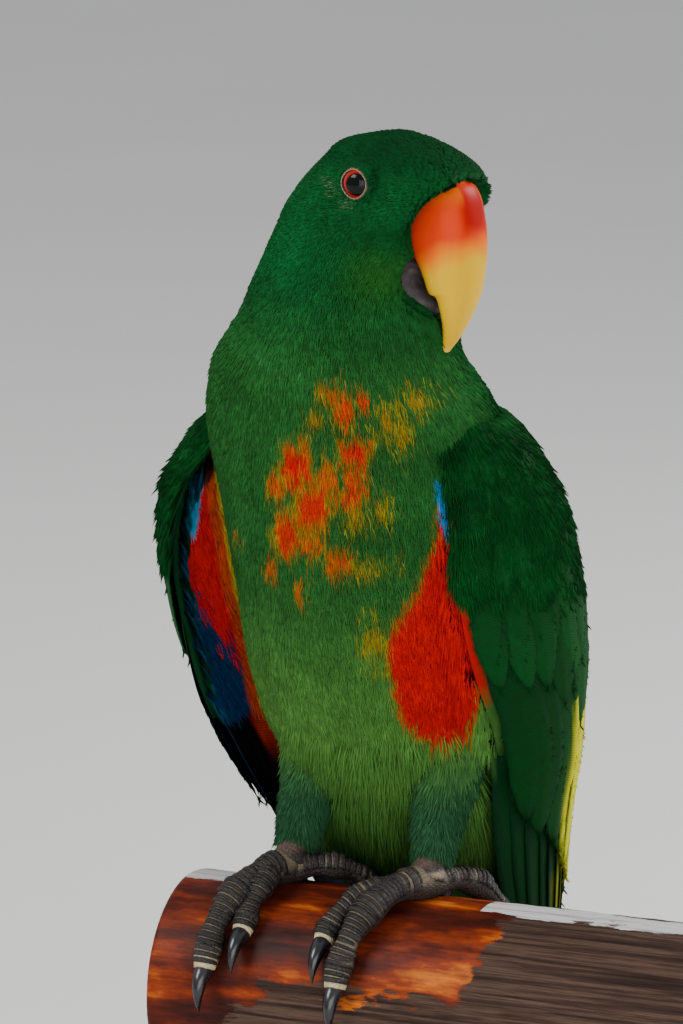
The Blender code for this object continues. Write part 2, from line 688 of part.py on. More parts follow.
def stand_and_rail():
    rail = rail_form("perch")
    rail.data.materials.append(MATERIALS["rail_wood"])
    bpy.ops.mesh.primitive_cube_add(size=1)
    plane = bpy.context.object
    plane.data.transform(Matrix.Diagonal((CUTTER_REACH, CUTTER_REACH, RAIL_RADIUS, 1)))
    plane.data.transform(Matrix.Translation((0, 0, -RAIL_FLAT_DEPTH - RAIL_RADIUS / 2)))
    plane.data.transform(Matrix.Rotation(-RAIL_FLAT_ANGLE, 4, "X"))
    plane.data.transform(Matrix.Translation((sum(RAIL_ENDS) / 2, 0, RAIL_TOP - RAIL_RADIUS)))
    cut_away(rail, plane)
    rail_middle = RAIL_TOP - RAIL_RADIUS
    bpy.ops.mesh.primitive_cube_add(size=1)
    base = bpy.context.object
    base.name = "stand_base"
    base.data.transform(Matrix.Diagonal((*BASE_SIZE, 1)))
    base.data.transform(Matrix.Translation((*BASE_CENTRE, BASE_SIZE[2] / 2)))
    move_to_parrot(base, "base_wood")
    edge = base.modifiers.new("edge", "BEVEL")
    edge.width = BASE_EDGE
    edge.segments = 2
    for index, x in enumerate(ROD_PLACES):
        length = rail_middle - BASE_SIZE[2] - GAP
        bpy.ops.mesh.primitive_cylinder_add(vertices=ROD_SIDES, radius=ROD_RADIUS, depth=length)
        rod = bpy.context.object
        rod.name = f"stand_rod_{index + 1}"
        rod.data.transform(Matrix.Translation((x, 0, BASE_SIZE[2] + GAP + length / 2)))
        move_to_parrot(rod, "rod_steel")
        cut_away(rod, rail_form("rail_room", GAP, CUTTERS))


def move_to_parrot(made, finish):
    for home in list(made.users_collection):
        home.objects.unlink(made)
    PARROT.objects.link(made)
    made.data.materials.clear()
    made.data.materials.append(MATERIALS[finish])


def on_rail(x, angle, off):
    """A place off the rail's round surface; a negative angle lies in front of its top."""
    reach = RAIL_RADIUS + off
    return Vector((x, reach * math.sin(angle), RAIL_TOP - RAIL_RADIUS + reach * math.cos(angle)))


def toe_path(foot_x, toe):
    """A toe's middle line over the rail with its radii, arched near the foot."""
    end_x, end_angle, root_radius, end_radius = toe[1:]
    path = []
    for step in range(TOE_STEPS + 1):
        part = step / TOE_STEPS
        radius = (root_radius + (end_radius - root_radius) * part) * MM
        angle = math.radians(end_angle) * part
        x = foot_x + (end_x * MM - foot_x) * math.sin(part * math.pi / 2)
        arch = TOE_ARCH * MM * math.sin(math.pi * min(part * 1.2, 1))
        path.append((on_rail(x, angle, radius - TOE_SINK + arch), radius))
    return path


def toe_form(name, path):
    """A toe with a raised ring at each scute."""
    length = sum((b[0] - a[0]).length for a, b in zip(path, path[1:]))
    scutes = max(4, round(length / SCUTE_STEP))
    points = []
    radii = []
    for step in range(scutes * 2 + 1):
        place = step / (scutes * 2) * (len(path) - 1)
        index = min(int(place), len(path) - 2)
        part = place - index
        points.append(path[index][0].lerp(path[index + 1][0], part))
        radius = path[index][1] * (1 - part) + path[index + 1][1] * part
        radii.append(radius + (SCUTE_RAISE if step % 2 else 0.0))
    return tube(name, points, radii, TOE_SIDES, "foot_skin")


def claw_form(name, path):
    """A curved tapering claw that goes on from a toe's end."""
    end = path[-1][0]
    ahead = (path[-1][0] - path[-2][0]).normalized()
    outward = (end - Vector((end.x, 0, RAIL_TOP - RAIL_RADIUS))).normalized()
    axis = ahead.cross(outward).normalized()
    place = end + ahead * GAP + outward * CLAW_LIFT
    points = [place.copy()]
    radii = [CLAW_RADIUS]
    place = place + ahead * CLAW_STRAIGHT
    for step in range(CLAW_STEPS + 1):
        part = step / CLAW_STEPS
        points.append(place.copy())
        radii.append(CLAW_RADIUS * (1 - part ** 1.5) + CLAW_TIP)
        bend = CLAW_CURL * (0.35 - part)
        place = place + (Matrix.Rotation(bend, 3, axis) @ ahead) * (CLAW_LENGTH / CLAW_STEPS)
    return tube(name, points, radii, CLAW_SIDES, "claw_horn")


def leg(side, label, toes):
    hip, knee, foot = (Vector((side * x, y, RAIL_TOP + z)) for x, y, z in (HIP, THIGH_END, FOOT_PLACE))
    steps = len(THIGH_RADII) - 1
    path = [hip.lerp(knee, step / steps) for step in range(steps + 1)]
    thigh = tube("thigh_" + label, path, THIGH_RADII, THIGH_SIDES, "green_plumage")
    cut_away(thigh, body_form("body_room", GAP, CUTTERS))
    shank_path = [knee.lerp(hip, 0.08), knee.lerp(foot, 0.55), foot]
    shank_radii = [SHANK_RADIUS * 0.85, SHANK_RADIUS, SHANK_RADIUS * 1.1]
    shank = tube("shank_" + label, shank_path, shank_radii, SHANK_SIDES, "foot_skin")
    room_path = path[:-1] + [knee + (knee - hip).normalized() * GAP]
    room_radii = [radius + GAP for radius in THIGH_RADII]
    for near in (shank, bpy.data.objects["wing_" + label]):
        cut_away(near, tube("thigh_room", room_path, room_radii, THIGH_SIDES, None, CUTTERS))
    foot_lump = ball("foot_" + label, foot, ANKLE_RADIUS, "foot_skin")
    pieces = []
    for toe in toes:
        route = toe_path(foot.x, toe)
        pieces.append(toe_form("toe", route))
        claw = claw_form(f"claw_{label}_{toe[0]}", route)
        cut_away(claw, rail_form("rail_room", GAP, CUTTERS))
    fuse(foot_lump, pieces)
    cut_away(foot_lump, rail_form("rail_room", GAP, CUTTERS))
    room_line = [knee.lerp(foot, 0.2), foot]
    room_radii = [shank_radii[-1] + GAP] * len(room_line)
    cut_away(foot_lump, tube("shank_room", room_line, room_radii, SHANK_SIDES, None, CUTTERS))
    cut_away(shank, ball("ankle_room", foot, ANKLE_RADIUS + GAP, None, CUTTERS))


def build():
    stand_and_rail()
    body = body_parts()
    face_parts(body["head"], body["neck"])
    wings()
    tail()
    for side, label, toes in ((-1, "right", RIGHT_TOES), (1, "left", LEFT_TOES)):
        leg(side, label, toes)


build()
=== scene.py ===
import math
import bmesh
import bpy
import numpy as np
from mathutils import Matrix, Vector
from mathutils.bvhtree import BVHTree


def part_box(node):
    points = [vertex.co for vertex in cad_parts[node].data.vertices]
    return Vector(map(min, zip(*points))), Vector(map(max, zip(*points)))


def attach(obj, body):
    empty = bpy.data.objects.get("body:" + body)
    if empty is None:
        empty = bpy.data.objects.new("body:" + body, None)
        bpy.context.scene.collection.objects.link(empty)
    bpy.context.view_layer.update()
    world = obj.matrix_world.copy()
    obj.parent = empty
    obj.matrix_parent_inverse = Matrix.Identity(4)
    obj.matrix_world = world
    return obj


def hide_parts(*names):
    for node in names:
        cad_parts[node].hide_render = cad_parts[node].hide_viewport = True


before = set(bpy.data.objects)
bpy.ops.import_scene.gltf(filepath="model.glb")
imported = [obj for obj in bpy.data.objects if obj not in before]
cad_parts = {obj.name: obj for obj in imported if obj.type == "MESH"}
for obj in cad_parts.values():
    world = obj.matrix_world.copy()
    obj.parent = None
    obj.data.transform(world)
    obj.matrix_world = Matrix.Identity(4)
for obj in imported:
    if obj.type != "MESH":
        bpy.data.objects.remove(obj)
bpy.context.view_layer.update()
mm = 0.001
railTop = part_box("perch")[1].z
railRadius = 28 * mm
railCentre = railTop - railRadius

# The camera looks at the bird from its front left, so that the feet stand at their place in the picture
viewSettings = {
    "azimuth": 24,
    "elevation": 11,
    "distance": 1.5,
    "pixelsPerMetre": 3850,
    "imageSize": (683, 1024),
    "feetAtPixel": (356, 889),
    "sensor": 36,
}


def viewFrame():
    # the camera's ways to the right, up and back
    azimuth = math.radians(viewSettings["azimuth"])
    elevation = math.radians(viewSettings["elevation"])
    toEye = Vector((math.sin(azimuth) * math.cos(elevation), -math.cos(azimuth) * math.cos(elevation),
                    math.sin(elevation)))
    right = Vector((math.cos(azimuth), math.sin(azimuth), 0))
    return right, toEye.cross(right), toEye


viewRight, viewUp, viewBack = viewFrame()
imageWidth, imageHeight = viewSettings["imageSize"]
feetRight, feetDown = viewSettings["feetAtPixel"]
aimAcross = (imageWidth / 2 - feetRight) / viewSettings["pixelsPerMetre"]
aimUp = (feetDown - imageHeight / 2) / viewSettings["pixelsPerMetre"]


def chart(points):
    # millimetres across and up from the rail's top between the feet, as the bird's front left shows them
    local = points - np.array((0, 0, railTop))
    near = 1 / (1 - local @ np.array(viewBack) / viewSettings["distance"])
    across = (local @ np.array(viewRight) - aimAcross) * near + aimAcross
    up = (local @ np.array(viewUp) - aimUp) * near + aimUp
    return across / mm, up / mm


# Arrays of points, colours and smooth curves
farOutside = -9.0


def unit(rows):
    # rows scaled to length 1
    return rows / np.maximum(np.linalg.norm(rows, axis=-1, keepdims=True), 1e-12)


def runningLength(path):
    # the length from a path's start to each of its points
    return np.concatenate(((0,), np.cumsum(np.linalg.norm(np.diff(path, axis=0), axis=1))))


def alongSurface(ways, normals):
    # ways with what points out of the surface taken away
    return ways - normals * (ways * normals).sum(1, keepdims=True)


def smoothStep(low, high, value):
    part = np.clip((value - low) / (high - low), 0, 1)
    return part * part * (3 - 2 * part)


def paint(red, green, blue):
    # a colour as a paint chart gives it, 0 to 255, made linear
    chip = np.array((red, green, blue), float) / 255
    return np.where(chip <= 0.04045, chip / 12.92, ((chip + 0.055) / 1.055) ** 2.4)


def mix(first, second, part):
    part = np.asarray(part)[..., None]
    return first * (1 - part) + second * part


def readRows(rows, place):
    # Catmull-Rom through a table's rows
    rows = np.asarray(rows, float)
    last = len(rows) - 1
    place = np.clip(place, 0, last)
    index = np.minimum(place.astype(int), last - 1)
    part = (place - index)[..., None]
    p0, p1, p2, p3 = (rows[np.clip(index + k, 0, last)] for k in (-1, 0, 1, 2))
    return 0.5 * (2 * p1 + (p2 - p0) * part + (2 * p0 - 5 * p1 + 4 * p2 - p3) * part ** 2
                  + (3 * p1 - p0 - 3 * p2 + p3) * part ** 3)


def waves(points, scale, seed):
    # a cheap smooth noise between -1 and 1: sines in random directions
    chance = np.random.default_rng(seed)
    total = np.zeros(len(points))
    for wave in range(5):
        way = unit(chance.normal(size=3)) * math.tau / (scale * chance.uniform(0.6, 1.5))
        total += np.sin(points @ way + chance.uniform(0, math.tau))
    return total / 3


# Meshes
def newMesh(name, points, faces, finish, tint=None, bake=None, lie=None, normals=None):
    mesh = bpy.data.meshes.new(name)
    corners = faces.shape[1]
    mesh.vertices.add(len(points))
    mesh.vertices.foreach_set("co", np.ascontiguousarray(points, np.float32).ravel())
    mesh.loops.add(faces.size)
    mesh.loops.foreach_set("vertex_index", np.ascontiguousarray(faces, np.int32).ravel())
    mesh.polygons.add(len(faces))
    mesh.polygons.foreach_set("loop_start", np.arange(0, faces.size, corners, dtype=np.int32))
    mesh.polygons.foreach_set("use_smooth", np.ones(len(faces), bool))
    mesh.update(calc_edges=True)
    mesh.validate()
    if tint is not None:
        setTint(mesh, tint)
    if lie is not None:
        setLayer(mesh, "lie", lie)
    if bake is not None:
        layer = mesh.uv_layers.new(name="OFBake")
        layer.data.foreach_set("uv", np.ascontiguousarray(bake[faces.ravel()], np.float32).ravel())
    if normals is not None:
        mesh.normals_split_custom_set_from_vertices(normals.astype(np.float32))
    mesh.materials.append(finish)
    return addObject(name, mesh)


def addObject(name, data):
    made = bpy.data.objects.new(name, data)
    bpy.context.scene.collection.objects.link(made)
    return made


def applyChanges(piece):
    # the piece's modifiers made into its mesh
    bpy.context.view_layer.update()
    made = bpy.data.meshes.new_from_object(piece.evaluated_get(bpy.context.evaluated_depsgraph_get()))
    piece.modifiers.clear()
    piece.data = made


def setLayer(mesh, name, values):
    # a number or a vector at each of a mesh's points
    kind, field = ("FLOAT_VECTOR", "vector") if values.ndim > 1 else ("FLOAT", "value")
    layer = mesh.attributes.new(name, kind, "POINT")
    layer.data.foreach_set(field, np.ascontiguousarray(values, np.float32).ravel())


def setTint(mesh, tint):
    layer = mesh.color_attributes.new("tint", "FLOAT_COLOR", "POINT")
    rgba = np.ones((len(mesh.vertices), 4), np.float32)
    rgba[:, :3] = np.clip(tint, 0, 1)
    layer.data.foreach_set("color", rgba.ravel())


def meshPoints(mesh):
    found = np.empty(len(mesh.vertices) * 3, np.float32)
    mesh.vertices.foreach_get("co", found)
    return found.reshape(-1, 3).astype(float)


def gridFaces(rows, columns, ring=False):
    # quads over a grid of points, closed round each row where it is a ring
    row, column = np.meshgrid(np.arange(rows - 1), np.arange(columns if ring else columns - 1), indexing="ij")
    first = (row * columns + column).ravel()
    second = (row * columns + (column + 1) % columns).ravel()
    return np.stack((first, second, second + columns, first + columns), 1)


def loftMesh(name, rings, finish, tint=None):
    # a closed skin over rings of points, with a point at each end
    count, sides = rings.shape[:2]
    points = rings.reshape(-1, 3)
    quads = gridFaces(count, sides, ring=True)
    faces = [quads[:, [0, 1, 2]], quads[:, [0, 2, 3]]]
    around = np.arange(sides)
    for row, tip in ((0, len(points)), (count - 1, len(points) + 1)):
        rim = np.stack((row * sides + around, row * sides + (around + 1) % sides, np.full(sides, tip)), 1)
        faces.append(rim[:, ::-1] if row == 0 else rim)
    points = np.concatenate((points, rings[0].mean(0)[None], rings[-1].mean(0)[None]))
    if tint is not None:
        tint = tint.reshape(-1, 3)
        tint = np.concatenate((tint, tint[:sides].mean(0)[None], tint[-sides:].mean(0)[None]))
    piece = newMesh(name, points, np.concatenate(faces), finish, tint)
    turnOut(piece.data)
    return piece


def turnOut(mesh):
    # turns a closed mesh's faces outwards
    work = bmesh.new()
    work.from_mesh(mesh)
    bmesh.ops.recalc_face_normals(work, faces=work.faces)
    if work.calc_volume(signed=True) < 0:
        bmesh.ops.reverse_faces(work, faces=work.faces)
    work.to_mesh(mesh)
    work.free()


def joinPieces(name, pieces):
    # one object of many
    bpy.ops.object.select_all(action="DESELECT")
    for piece in pieces:
        piece.select_set(True)
    bpy.context.view_layer.objects.active = pieces[0]
    bpy.ops.object.join()
    joined = bpy.context.view_layer.objects.active
    joined.name = name
    joined.data.name = name
    return joined


# Materials
class Shade:
    # a short way to wire one material's nodes
    def __init__(self, name):
        self.made = bpy.data.materials.new(name)
        self.made.use_nodes = True
        self.tree = self.made.node_tree
        self.main = self.tree.nodes["Principled BSDF"]

    def node(self, kind, **values):
        made = self.tree.nodes.new(kind)
        for key, value in values.items():
            setattr(made, key, value)
        return made

    def link(self, start, end):
        self.tree.links.new(start, end)

    def place(self, scale):
        # object coordinates, stretched
        where = self.node("ShaderNodeTexCoord")
        mapping = self.node("ShaderNodeMapping")
        mapping.inputs["Scale"].default_value = scale
        self.link(where.outputs["Object"], mapping.inputs["Vector"])
        return mapping.outputs["Vector"]

    def noise(self, scale, detail=4.0, stretch=(1, 1, 1), rough=0.55):
        made = self.node("ShaderNodeTexNoise")
        made.inputs["Scale"].default_value = scale
        made.inputs["Detail"].default_value = detail
        made.inputs["Roughness"].default_value = rough
        self.link(self.place(stretch), made.inputs["Vector"])
        return made.outputs["Fac"]

    def ramp(self, value, stops):
        made = self.node("ShaderNodeValToRGB")
        band = made.color_ramp
        while len(band.elements) < len(stops):
            band.elements.new(0.5)
        for element, (place, colour) in zip(band.elements, stops):
            element.position = place
            element.color = (*colour, 1)
        self.link(value, made.inputs["Fac"])
        return made.outputs["Color"]

    def grey(self, value, low, high, start=0.0, end=1.0):
        # a value between start and end, moved to between low and high
        made = self.node("ShaderNodeMapRange")
        made.inputs["From Min"].default_value = start
        made.inputs["From Max"].default_value = end
        made.inputs["To Min"].default_value = low
        made.inputs["To Max"].default_value = high
        self.link(value, made.inputs["Value"])
        return made.outputs["Result"]

    def blend(self, first, second, part, way="MIX"):
        made = self.node("ShaderNodeMix", data_type="RGBA", blend_type=way)
        for value, socket in zip((part, first, second), (made.inputs[key] for key in ("Factor", "A", "B"))):
            if isinstance(value, (int, float)):
                socket.default_value = value
            elif isinstance(value, tuple):
                socket.default_value = (*value, 1)
            else:
                self.link(value, socket)
        return made.outputs["Result"]

    def times(self, colour, value, low, high, start=0.0, end=1.0):
        # a colour made darker or lighter by a value
        return self.blend(colour, self.grey(value, low, high, start, end), 1.0, "MULTIPLY")

    def tinted(self, value, low, high, start=0.0, end=1.0):
        # the mesh's own tint, made darker or lighter by a value
        return self.times(self.attribute("tint"), value, low, high, start, end)

    def work(self, operation, *values, clamp=False):
        # one step of arithmetic on nodes' values or plain numbers
        made = self.node("ShaderNodeMath", operation=operation, use_clamp=clamp)
        for value, socket in zip(values, made.inputs):
            if isinstance(value, (int, float)):
                socket.default_value = value
            else:
                self.link(value, socket)
        return made.outputs["Value"]

    def attribute(self, name, output="Color"):
        made = self.node("ShaderNodeAttribute", attribute_name=name)
        return made.outputs[output]

    def bump(self, height, strength, distance):
        made = self.node("ShaderNodeBump")
        made.inputs["Strength"].default_value = strength
        made.inputs["Distance"].default_value = distance
        self.link(height, made.inputs["Height"])
        self.link(made.outputs["Normal"], self.main.inputs["Normal"])

    def finish(self, colour=None, rough=None, **fixed):
        if colour is not None:
            self.link(colour, self.main.inputs["Base Color"])
        if rough is not None:
            self.link(rough, self.main.inputs["Roughness"])
        for key, value in fixed.items():
            self.main.inputs[key.replace("_", " ")].default_value = value
        return self.made


def plumageFinish():
    shade = Shade("bodyPlumage")
    grain = shade.noise(420, 3)
    return shade.finish(shade.tinted(grain, 0.72, 1.28), shade.grey(grain, 0.6, 0.8), Specular_IOR_Level=0.05)


def vaneFinish():
    # fine slanting barbs on both sides of the shaft, from each vane's own lie
    shade = Shade("vanePlumage")
    barbsPerRadian = 7.5
    lie = shade.node("ShaderNodeSeparateXYZ")
    shade.link(shade.attribute("lie", "Vector"), lie.inputs["Vector"])
    along = shade.work("SUBTRACT", lie.outputs["Y"], shade.work("ABSOLUTE", lie.outputs["X"]))
    line = shade.work("SINE", shade.work("MULTIPLY", along, barbsPerRadian))
    cloud = shade.noise(260, 4)
    colour = shade.times(shade.tinted(line, 0.8, 1.12, -1, 1), cloud, 0.7, 1.3)
    shade.bump(line, 0.25, 0.0001)
    return shade.finish(colour, shade.grey(cloud, 0.62, 0.8), Specular_IOR_Level=0.08)


def billFinish():
    shade = Shade("billHorn")
    streak = shade.noise(300, 5, (1, 1, 0.12))
    patch = shade.noise(90, 4)
    colour = shade.times(shade.tinted(streak, 0.9, 1.1), patch, 0.92, 1.08)
    shade.bump(streak, 0.18, 0.0003)
    return shade.finish(colour, shade.grey(patch, 0.3, 0.42), Specular_IOR_Level=0.07)


def darkBillFinish():
    shade = Shade("lowerBillHorn")
    flakes = shade.noise(700, 5, (1, 1, 0.6))
    colour = shade.ramp(flakes, ((0.3, (0.016, 0.013, 0.018)), (0.62, (0.045, 0.038, 0.048)),
                                 (0.78, (0.14, 0.13, 0.13))))
    colour = shade.blend(colour, shade.attribute("tint"), 0.45, "MIX")
    shade.bump(flakes, 0.5, 0.0004)
    return shade.finish(colour, shade.grey(flakes, 0.34, 0.6))


def eyeFinish():
    shade = Shade("eyeGlass")
    colour = shade.tinted(shade.noise(1500, 3), 0.7, 1.3)
    return shade.finish(colour, Roughness=0.05, Specular_IOR_Level=0.22)


def lidFinish():
    shade = Shade("lidSkin")
    grain = shade.noise(1400, 4)
    shade.bump(grain, 0.5, 0.0003)
    return shade.finish(shade.tinted(grain, 0.6, 1.35), Roughness=0.7, Specular_IOR_Level=0.12)


def footFinish():
    # dark scaly skin: small round scales where there are no scutes
    shade = Shade("footSkin")
    cells = shade.node("ShaderNodeTexVoronoi", feature="DISTANCE_TO_EDGE")
    cells.inputs["Scale"].default_value = 900
    shade.link(shade.place((1, 1, 1)), cells.inputs["Vector"])
    dust = shade.noise(500, 5)
    edge = shade.grey(cells.outputs["Distance"], 0.0, 1.0, 0.0, 0.16)
    shade.bump(edge, 0.55, 0.0004)
    return shade.finish(shade.tinted(dust, 0.55, 1.5), shade.grey(dust, 0.42, 0.68), Specular_IOR_Level=0.45)


def clawFinish():
    shade = Shade("clawHorn")
    streak = shade.noise(600, 4)
    shade.bump(streak, 0.15, 0.0002)
    return shade.finish(shade.tinted(streak, 0.6, 1.4), shade.grey(streak, 0.16, 0.34), Coat_Weight=0.4,
                        Coat_Roughness=0.1)


def railFinish():
    # worn varnish over weathered wood, its grain along the rail, and a painted pale reflection along the top
    shade = Shade("railWood")
    grain = shade.noise(800, 8, (0.02, 1, 1), 0.66)
    fine = shade.noise(2600, 5, (0.02, 1, 1), 0.6)
    bare = shade.ramp(grain, ((0.32, (0.012, 0.006, 0.005)), (0.47, (0.04, 0.021, 0.015)),
                              (0.58, (0.085, 0.05, 0.034)), (0.7, (0.03, 0.016, 0.012))))
    bare = shade.times(bare, fine, 0.4, 1.6)
    cloud = shade.noise(75, 7, (0.28, 1, 1), 0.6)
    varnish = shade.ramp(cloud, ((0.36, (0.02, 0.004, 0.003)), (0.48, (0.075, 0.01, 0.004)),
                                 (0.56, (0.2, 0.026, 0.004)), (0.64, (0.5, 0.12, 0.006)),
                                 (0.74, (0.12, 0.018, 0.006))))
    varnish = shade.times(varnish, grain, 0.2, 1.9)
    where = shade.node("ShaderNodeSeparateXYZ")
    shade.link(shade.place((1, 1, 1)), where.inputs["Vector"])
    along, height = where.outputs["X"], where.outputs["Z"]
    edge = shade.noise(150, 8, (0.3, 1, 1), 0.66)
    total = shade.grey(edge, -1.1, 1.1, 0.2, 0.8)
    for term in (shade.grey(height, -1, 1, railTop - 33 * mm, railTop - 6 * mm),
                 shade.grey(along, 1.3, 0, -29 * mm, -14 * mm),
                 shade.grey(along, 0, -2.6, 38 * mm, 56 * mm)):
        total = shade.work("ADD", total, term)
    cover = shade.grey(total, 0.0, 1.0, -0.06, 0.08)
    bare = shade.times(bare, height, 2.6, 1, railTop - 46 * mm, railTop - 32 * mm)
    colour = shade.blend(bare, varnish, cover)
    underBird = shade.work("COMPARE", along, 1 * mm, 36 * mm)
    # painted reflection: a pale ragged strip along the rail's top stands in for the glare of light on it, left
    # out under the bird
    crest = shade.grey(height, -0.7, 1.1, railTop - 1.8 * mm, railTop - 0.2 * mm)
    glareMask = shade.grey(shade.work("SUBTRACT", crest, shade.grey(edge, 3.0, -1.6)), 0, 1, -0.08, 0.05)
    paintedGlare = shade.work("SUBTRACT", glareMask, underBird, clamp=True)
    pale = shade.ramp(grain, ((0.36, (0.3, 0.28, 0.28)), (0.5, (0.6, 0.58, 0.58)), (0.64, (0.5, 0.48, 0.48))))
    colour = shade.blend(colour, pale, paintedGlare)
    rough = shade.blend((0.7, 0.7, 0.7), shade.grey(cloud, 0.4, 0.58), cover)
    shade.bump(shade.blend(fine, shade.grey(cloud, 0.7, 1.0), cover), 0.45, 0.0006)
    return shade.finish(colour, rough, Specular_IOR_Level=0.14)


def baseFinish():
    shade = Shade("baseWood")
    grain = shade.noise(60, 7, (0.12, 1, 1), 0.6)
    colour = shade.ramp(grain, ((0.3, (0.045, 0.024, 0.014)), (0.5, (0.1, 0.055, 0.032)),
                                (0.7, (0.16, 0.09, 0.052))))
    shade.bump(grain, 0.1, 0.0004)
    return shade.finish(colour, shade.grey(grain, 0.3, 0.45), Coat_Weight=0.2, Coat_Roughness=0.2)


def steelFinish():
    shade = Shade("rodSteel")
    brush = shade.noise(900, 4, (1, 1, 0.04))
    colour = shade.ramp(brush, ((0.3, (0.42, 0.42, 0.43)), (0.7, (0.62, 0.62, 0.63))))
    shade.bump(brush, 0.06, 0.0002)
    return shade.finish(colour, shade.grey(brush, 0.24, 0.4), Metallic=1.0)


finishes = {
    "plumage": plumageFinish(),
    "vane": vaneFinish(),
    "bill": billFinish(),
    "darkBill": darkBillFinish(),
    "eye": eyeFinish(),
    "lid": lidFinish(),
    "foot": footFinish(),
    "claw": clawFinish(),
    "rail": railFinish(),
    "base": baseFinish(),
    "steel": steelFinish(),
}

# The body's sections from vent to crown, as its solids have them: x, y, height, half width, depth behind,
# depth in front, turn, lean
bodyRows = (
    (0, 68, -1, 8, 6, 8, 0, 40),
    (0, 62, 7, 16, 12, 15, 0, 36),
    (-2, 52, 21, 28, 21, 25.5, 0, 32),
    (-2.8, 39, 40, 36.3, 29, 31, 0, 28),
    (-1.4, 27, 61, 38.9, 34, 34.5, 0, 24),
    (0, 17, 84, 39, 36, 36, 0, 20),
    (0, 8, 106, 38.8, 35, 35, 0, 17),
    (-2, 1, 126, 37, 32, 32, 6, 13),
    (-3, -3.5, 141, 31.8, 28.5, 28.5, 16, 9),
    (-0.6, -4.2, 153, 27.4, 25.5, 25.5, 30, 5),
    (0, -4, 163, 24, 22.5, 22.5, 48, 2),
    (2, -3.2, 171.5, 21.6, 22.8, 22.8, 66, 0),
    (7, -2.7, 178.5, 19.8, 25.6, 26.8, 76, 0),
    (11.1, -1.8, 184.5, 18.4, 26.2, 22.8, 79, 0),
    (11.6, -1.9, 190, 17, 21.2, 20.4, 79, 0),
    (11.2, -1.7, 194.4, 13.2, 15.2, 14.4, 79, 0),
    (9.4, -1.5, 197, 8, 7.8, 7, 79, 0),
    (8.4, -1.4, 198.4, 3.6, 3.6, 3.4, 79, 0),
)
lastRow = len(bodyRows) - 1

# The head's own frame and what sits on it
headSettings = {
    "centre": (12, -2),
    "turn": 79,
    "eyeForward": -0.2,
    "eyeHeight": 187.5,
    "eyeRadius": 5.4,
    "eyeDepth": 4.0,
    "irisRadius": 3.55,
    "pupilRadius": 2.7,
    "pupilForward": 6,
    "gazeForward": 9,
    "coatOnHead": 1.2,
    "coatOnBody": 2.6,
    "faceBlunt": 0.66,
    # forward and height of a hollow's rim, its depth, half width and half height
    "hollows": ((22, 175, 13, 19, 13), (13, 163, 9, 13, 8.5)),
    "hollowMargin": 0.5,
    "hollowSoft": 0.7,
    # forward, sideways and height of a swell, its half width, how far it stands out, if both sides have it
    "swells": ((20, 6, 185, 5, 1.5, True), (13, 12.5, 180, 4.5, 3.6, False)),
    "swellReach": 6,
}
headTurn = math.radians(headSettings["turn"])
headAhead = np.array((math.sin(headTurn), -math.cos(headTurn), 0))
headLeft = np.array((-headAhead[1], headAhead[0], 0))
headMiddle = np.array((headSettings["centre"][0] * mm, headSettings["centre"][1] * mm, railTop))


def headPoint(forward, sideways, height):
    # millimetres forward along the bill, to the bird's left, and above the rail's top
    forward, sideways, height = (np.asarray(v, float)[..., None] * mm for v in (forward, sideways, height))
    return headMiddle + headAhead * forward + headLeft * sideways + np.array((0, 0, 1)) * height


def headPlace(points):
    # the other way round: forward, to the bird's left, and above the rail's top
    local = points - headMiddle
    return local @ headAhead / mm, local @ headLeft / mm, local[..., 2] / mm


def bodyShape(place, angle):
    # the coat's outer surface: place counts bodyRows from the vent, angle goes round them
    x, y, height, halfWidth, back, front, turn, lean = np.moveaxis(readRows(bodyRows, place), -1, 0)
    turn, lean = np.radians(turn), np.radians(lean)
    ahead = np.sin(angle) > 0
    blunt = np.where(ahead, 1 - (1 - headSettings["faceBlunt"]) * smoothStep(11.2, 13, place), 1)
    across = halfWidth * np.sign(np.cos(angle)) * np.abs(np.cos(angle)) ** blunt
    depth = -np.where(ahead, front, back) * np.sign(np.sin(angle)) * np.abs(np.sin(angle)) ** blunt
    localY = depth * np.cos(lean)
    points = np.stack((x + across * np.cos(turn) - localY * np.sin(turn),
                       y + across * np.sin(turn) + localY * np.cos(turn),
                       height + depth * np.sin(lean)), -1) * mm
    points[..., 2] += railTop
    return points


def slopes(shape, place, angle):
    # outward normals of a surface over the body's sections
    small = 0.02
    along = shape(np.minimum(place + small, lastRow), angle) - shape(np.maximum(place - small, 0), angle)
    around = shape(place, angle + small) - shape(place, angle - small)
    return unit(np.cross(along, around))


def skinPoints(place, angle):
    # the skin under the coat
    points = bodyShape(place, angle)
    return sculpt(points - slopes(bodyShape, place, angle) * coatDepth(place)[..., None])


def evenTurns(place, shares):
    # angles that share out a section's girth evenly
    fine = np.linspace(0, math.tau, 361)
    ring = bodyShape(np.full(361, float(place)), fine)
    girth = runningLength(ring)
    return np.interp(np.mod(shares, 1) * girth[-1], girth, fine)


def sculpt(points):
    # the hollows round the bill's root and under the lower bill, and the full brow and far lore
    soft = headSettings["hollowSoft"]
    for middle, level, deep, wide, tall in headSettings["hollows"]:
        forward, side, height = headPlace(points)
        inside = 1 - (side / wide) ** 2 - ((height - level) / tall) ** 2
        limit = middle - headSettings["hollowMargin"] - deep * np.sqrt(np.maximum(inside, 0))
        over = np.where(inside > 0, forward - limit, farOutside)
        push = soft * np.log1p(np.exp(np.clip(over / soft, -12, 30)))
        points = points - headAhead * (push * mm)[..., None]
    forward, side, height = headPlace(points)
    swell = 0
    reach = headSettings["swellReach"]
    for middle, aside, level, wide, out, both in headSettings["swells"]:
        beside = abs(side) if both else side
        swell = swell + out * np.exp(-((forward - middle) / reach) ** 2 - ((beside - aside) / wide) ** 2
                                     - ((height - level) / reach) ** 2)
    return points + headAhead * (swell * mm)[..., None]


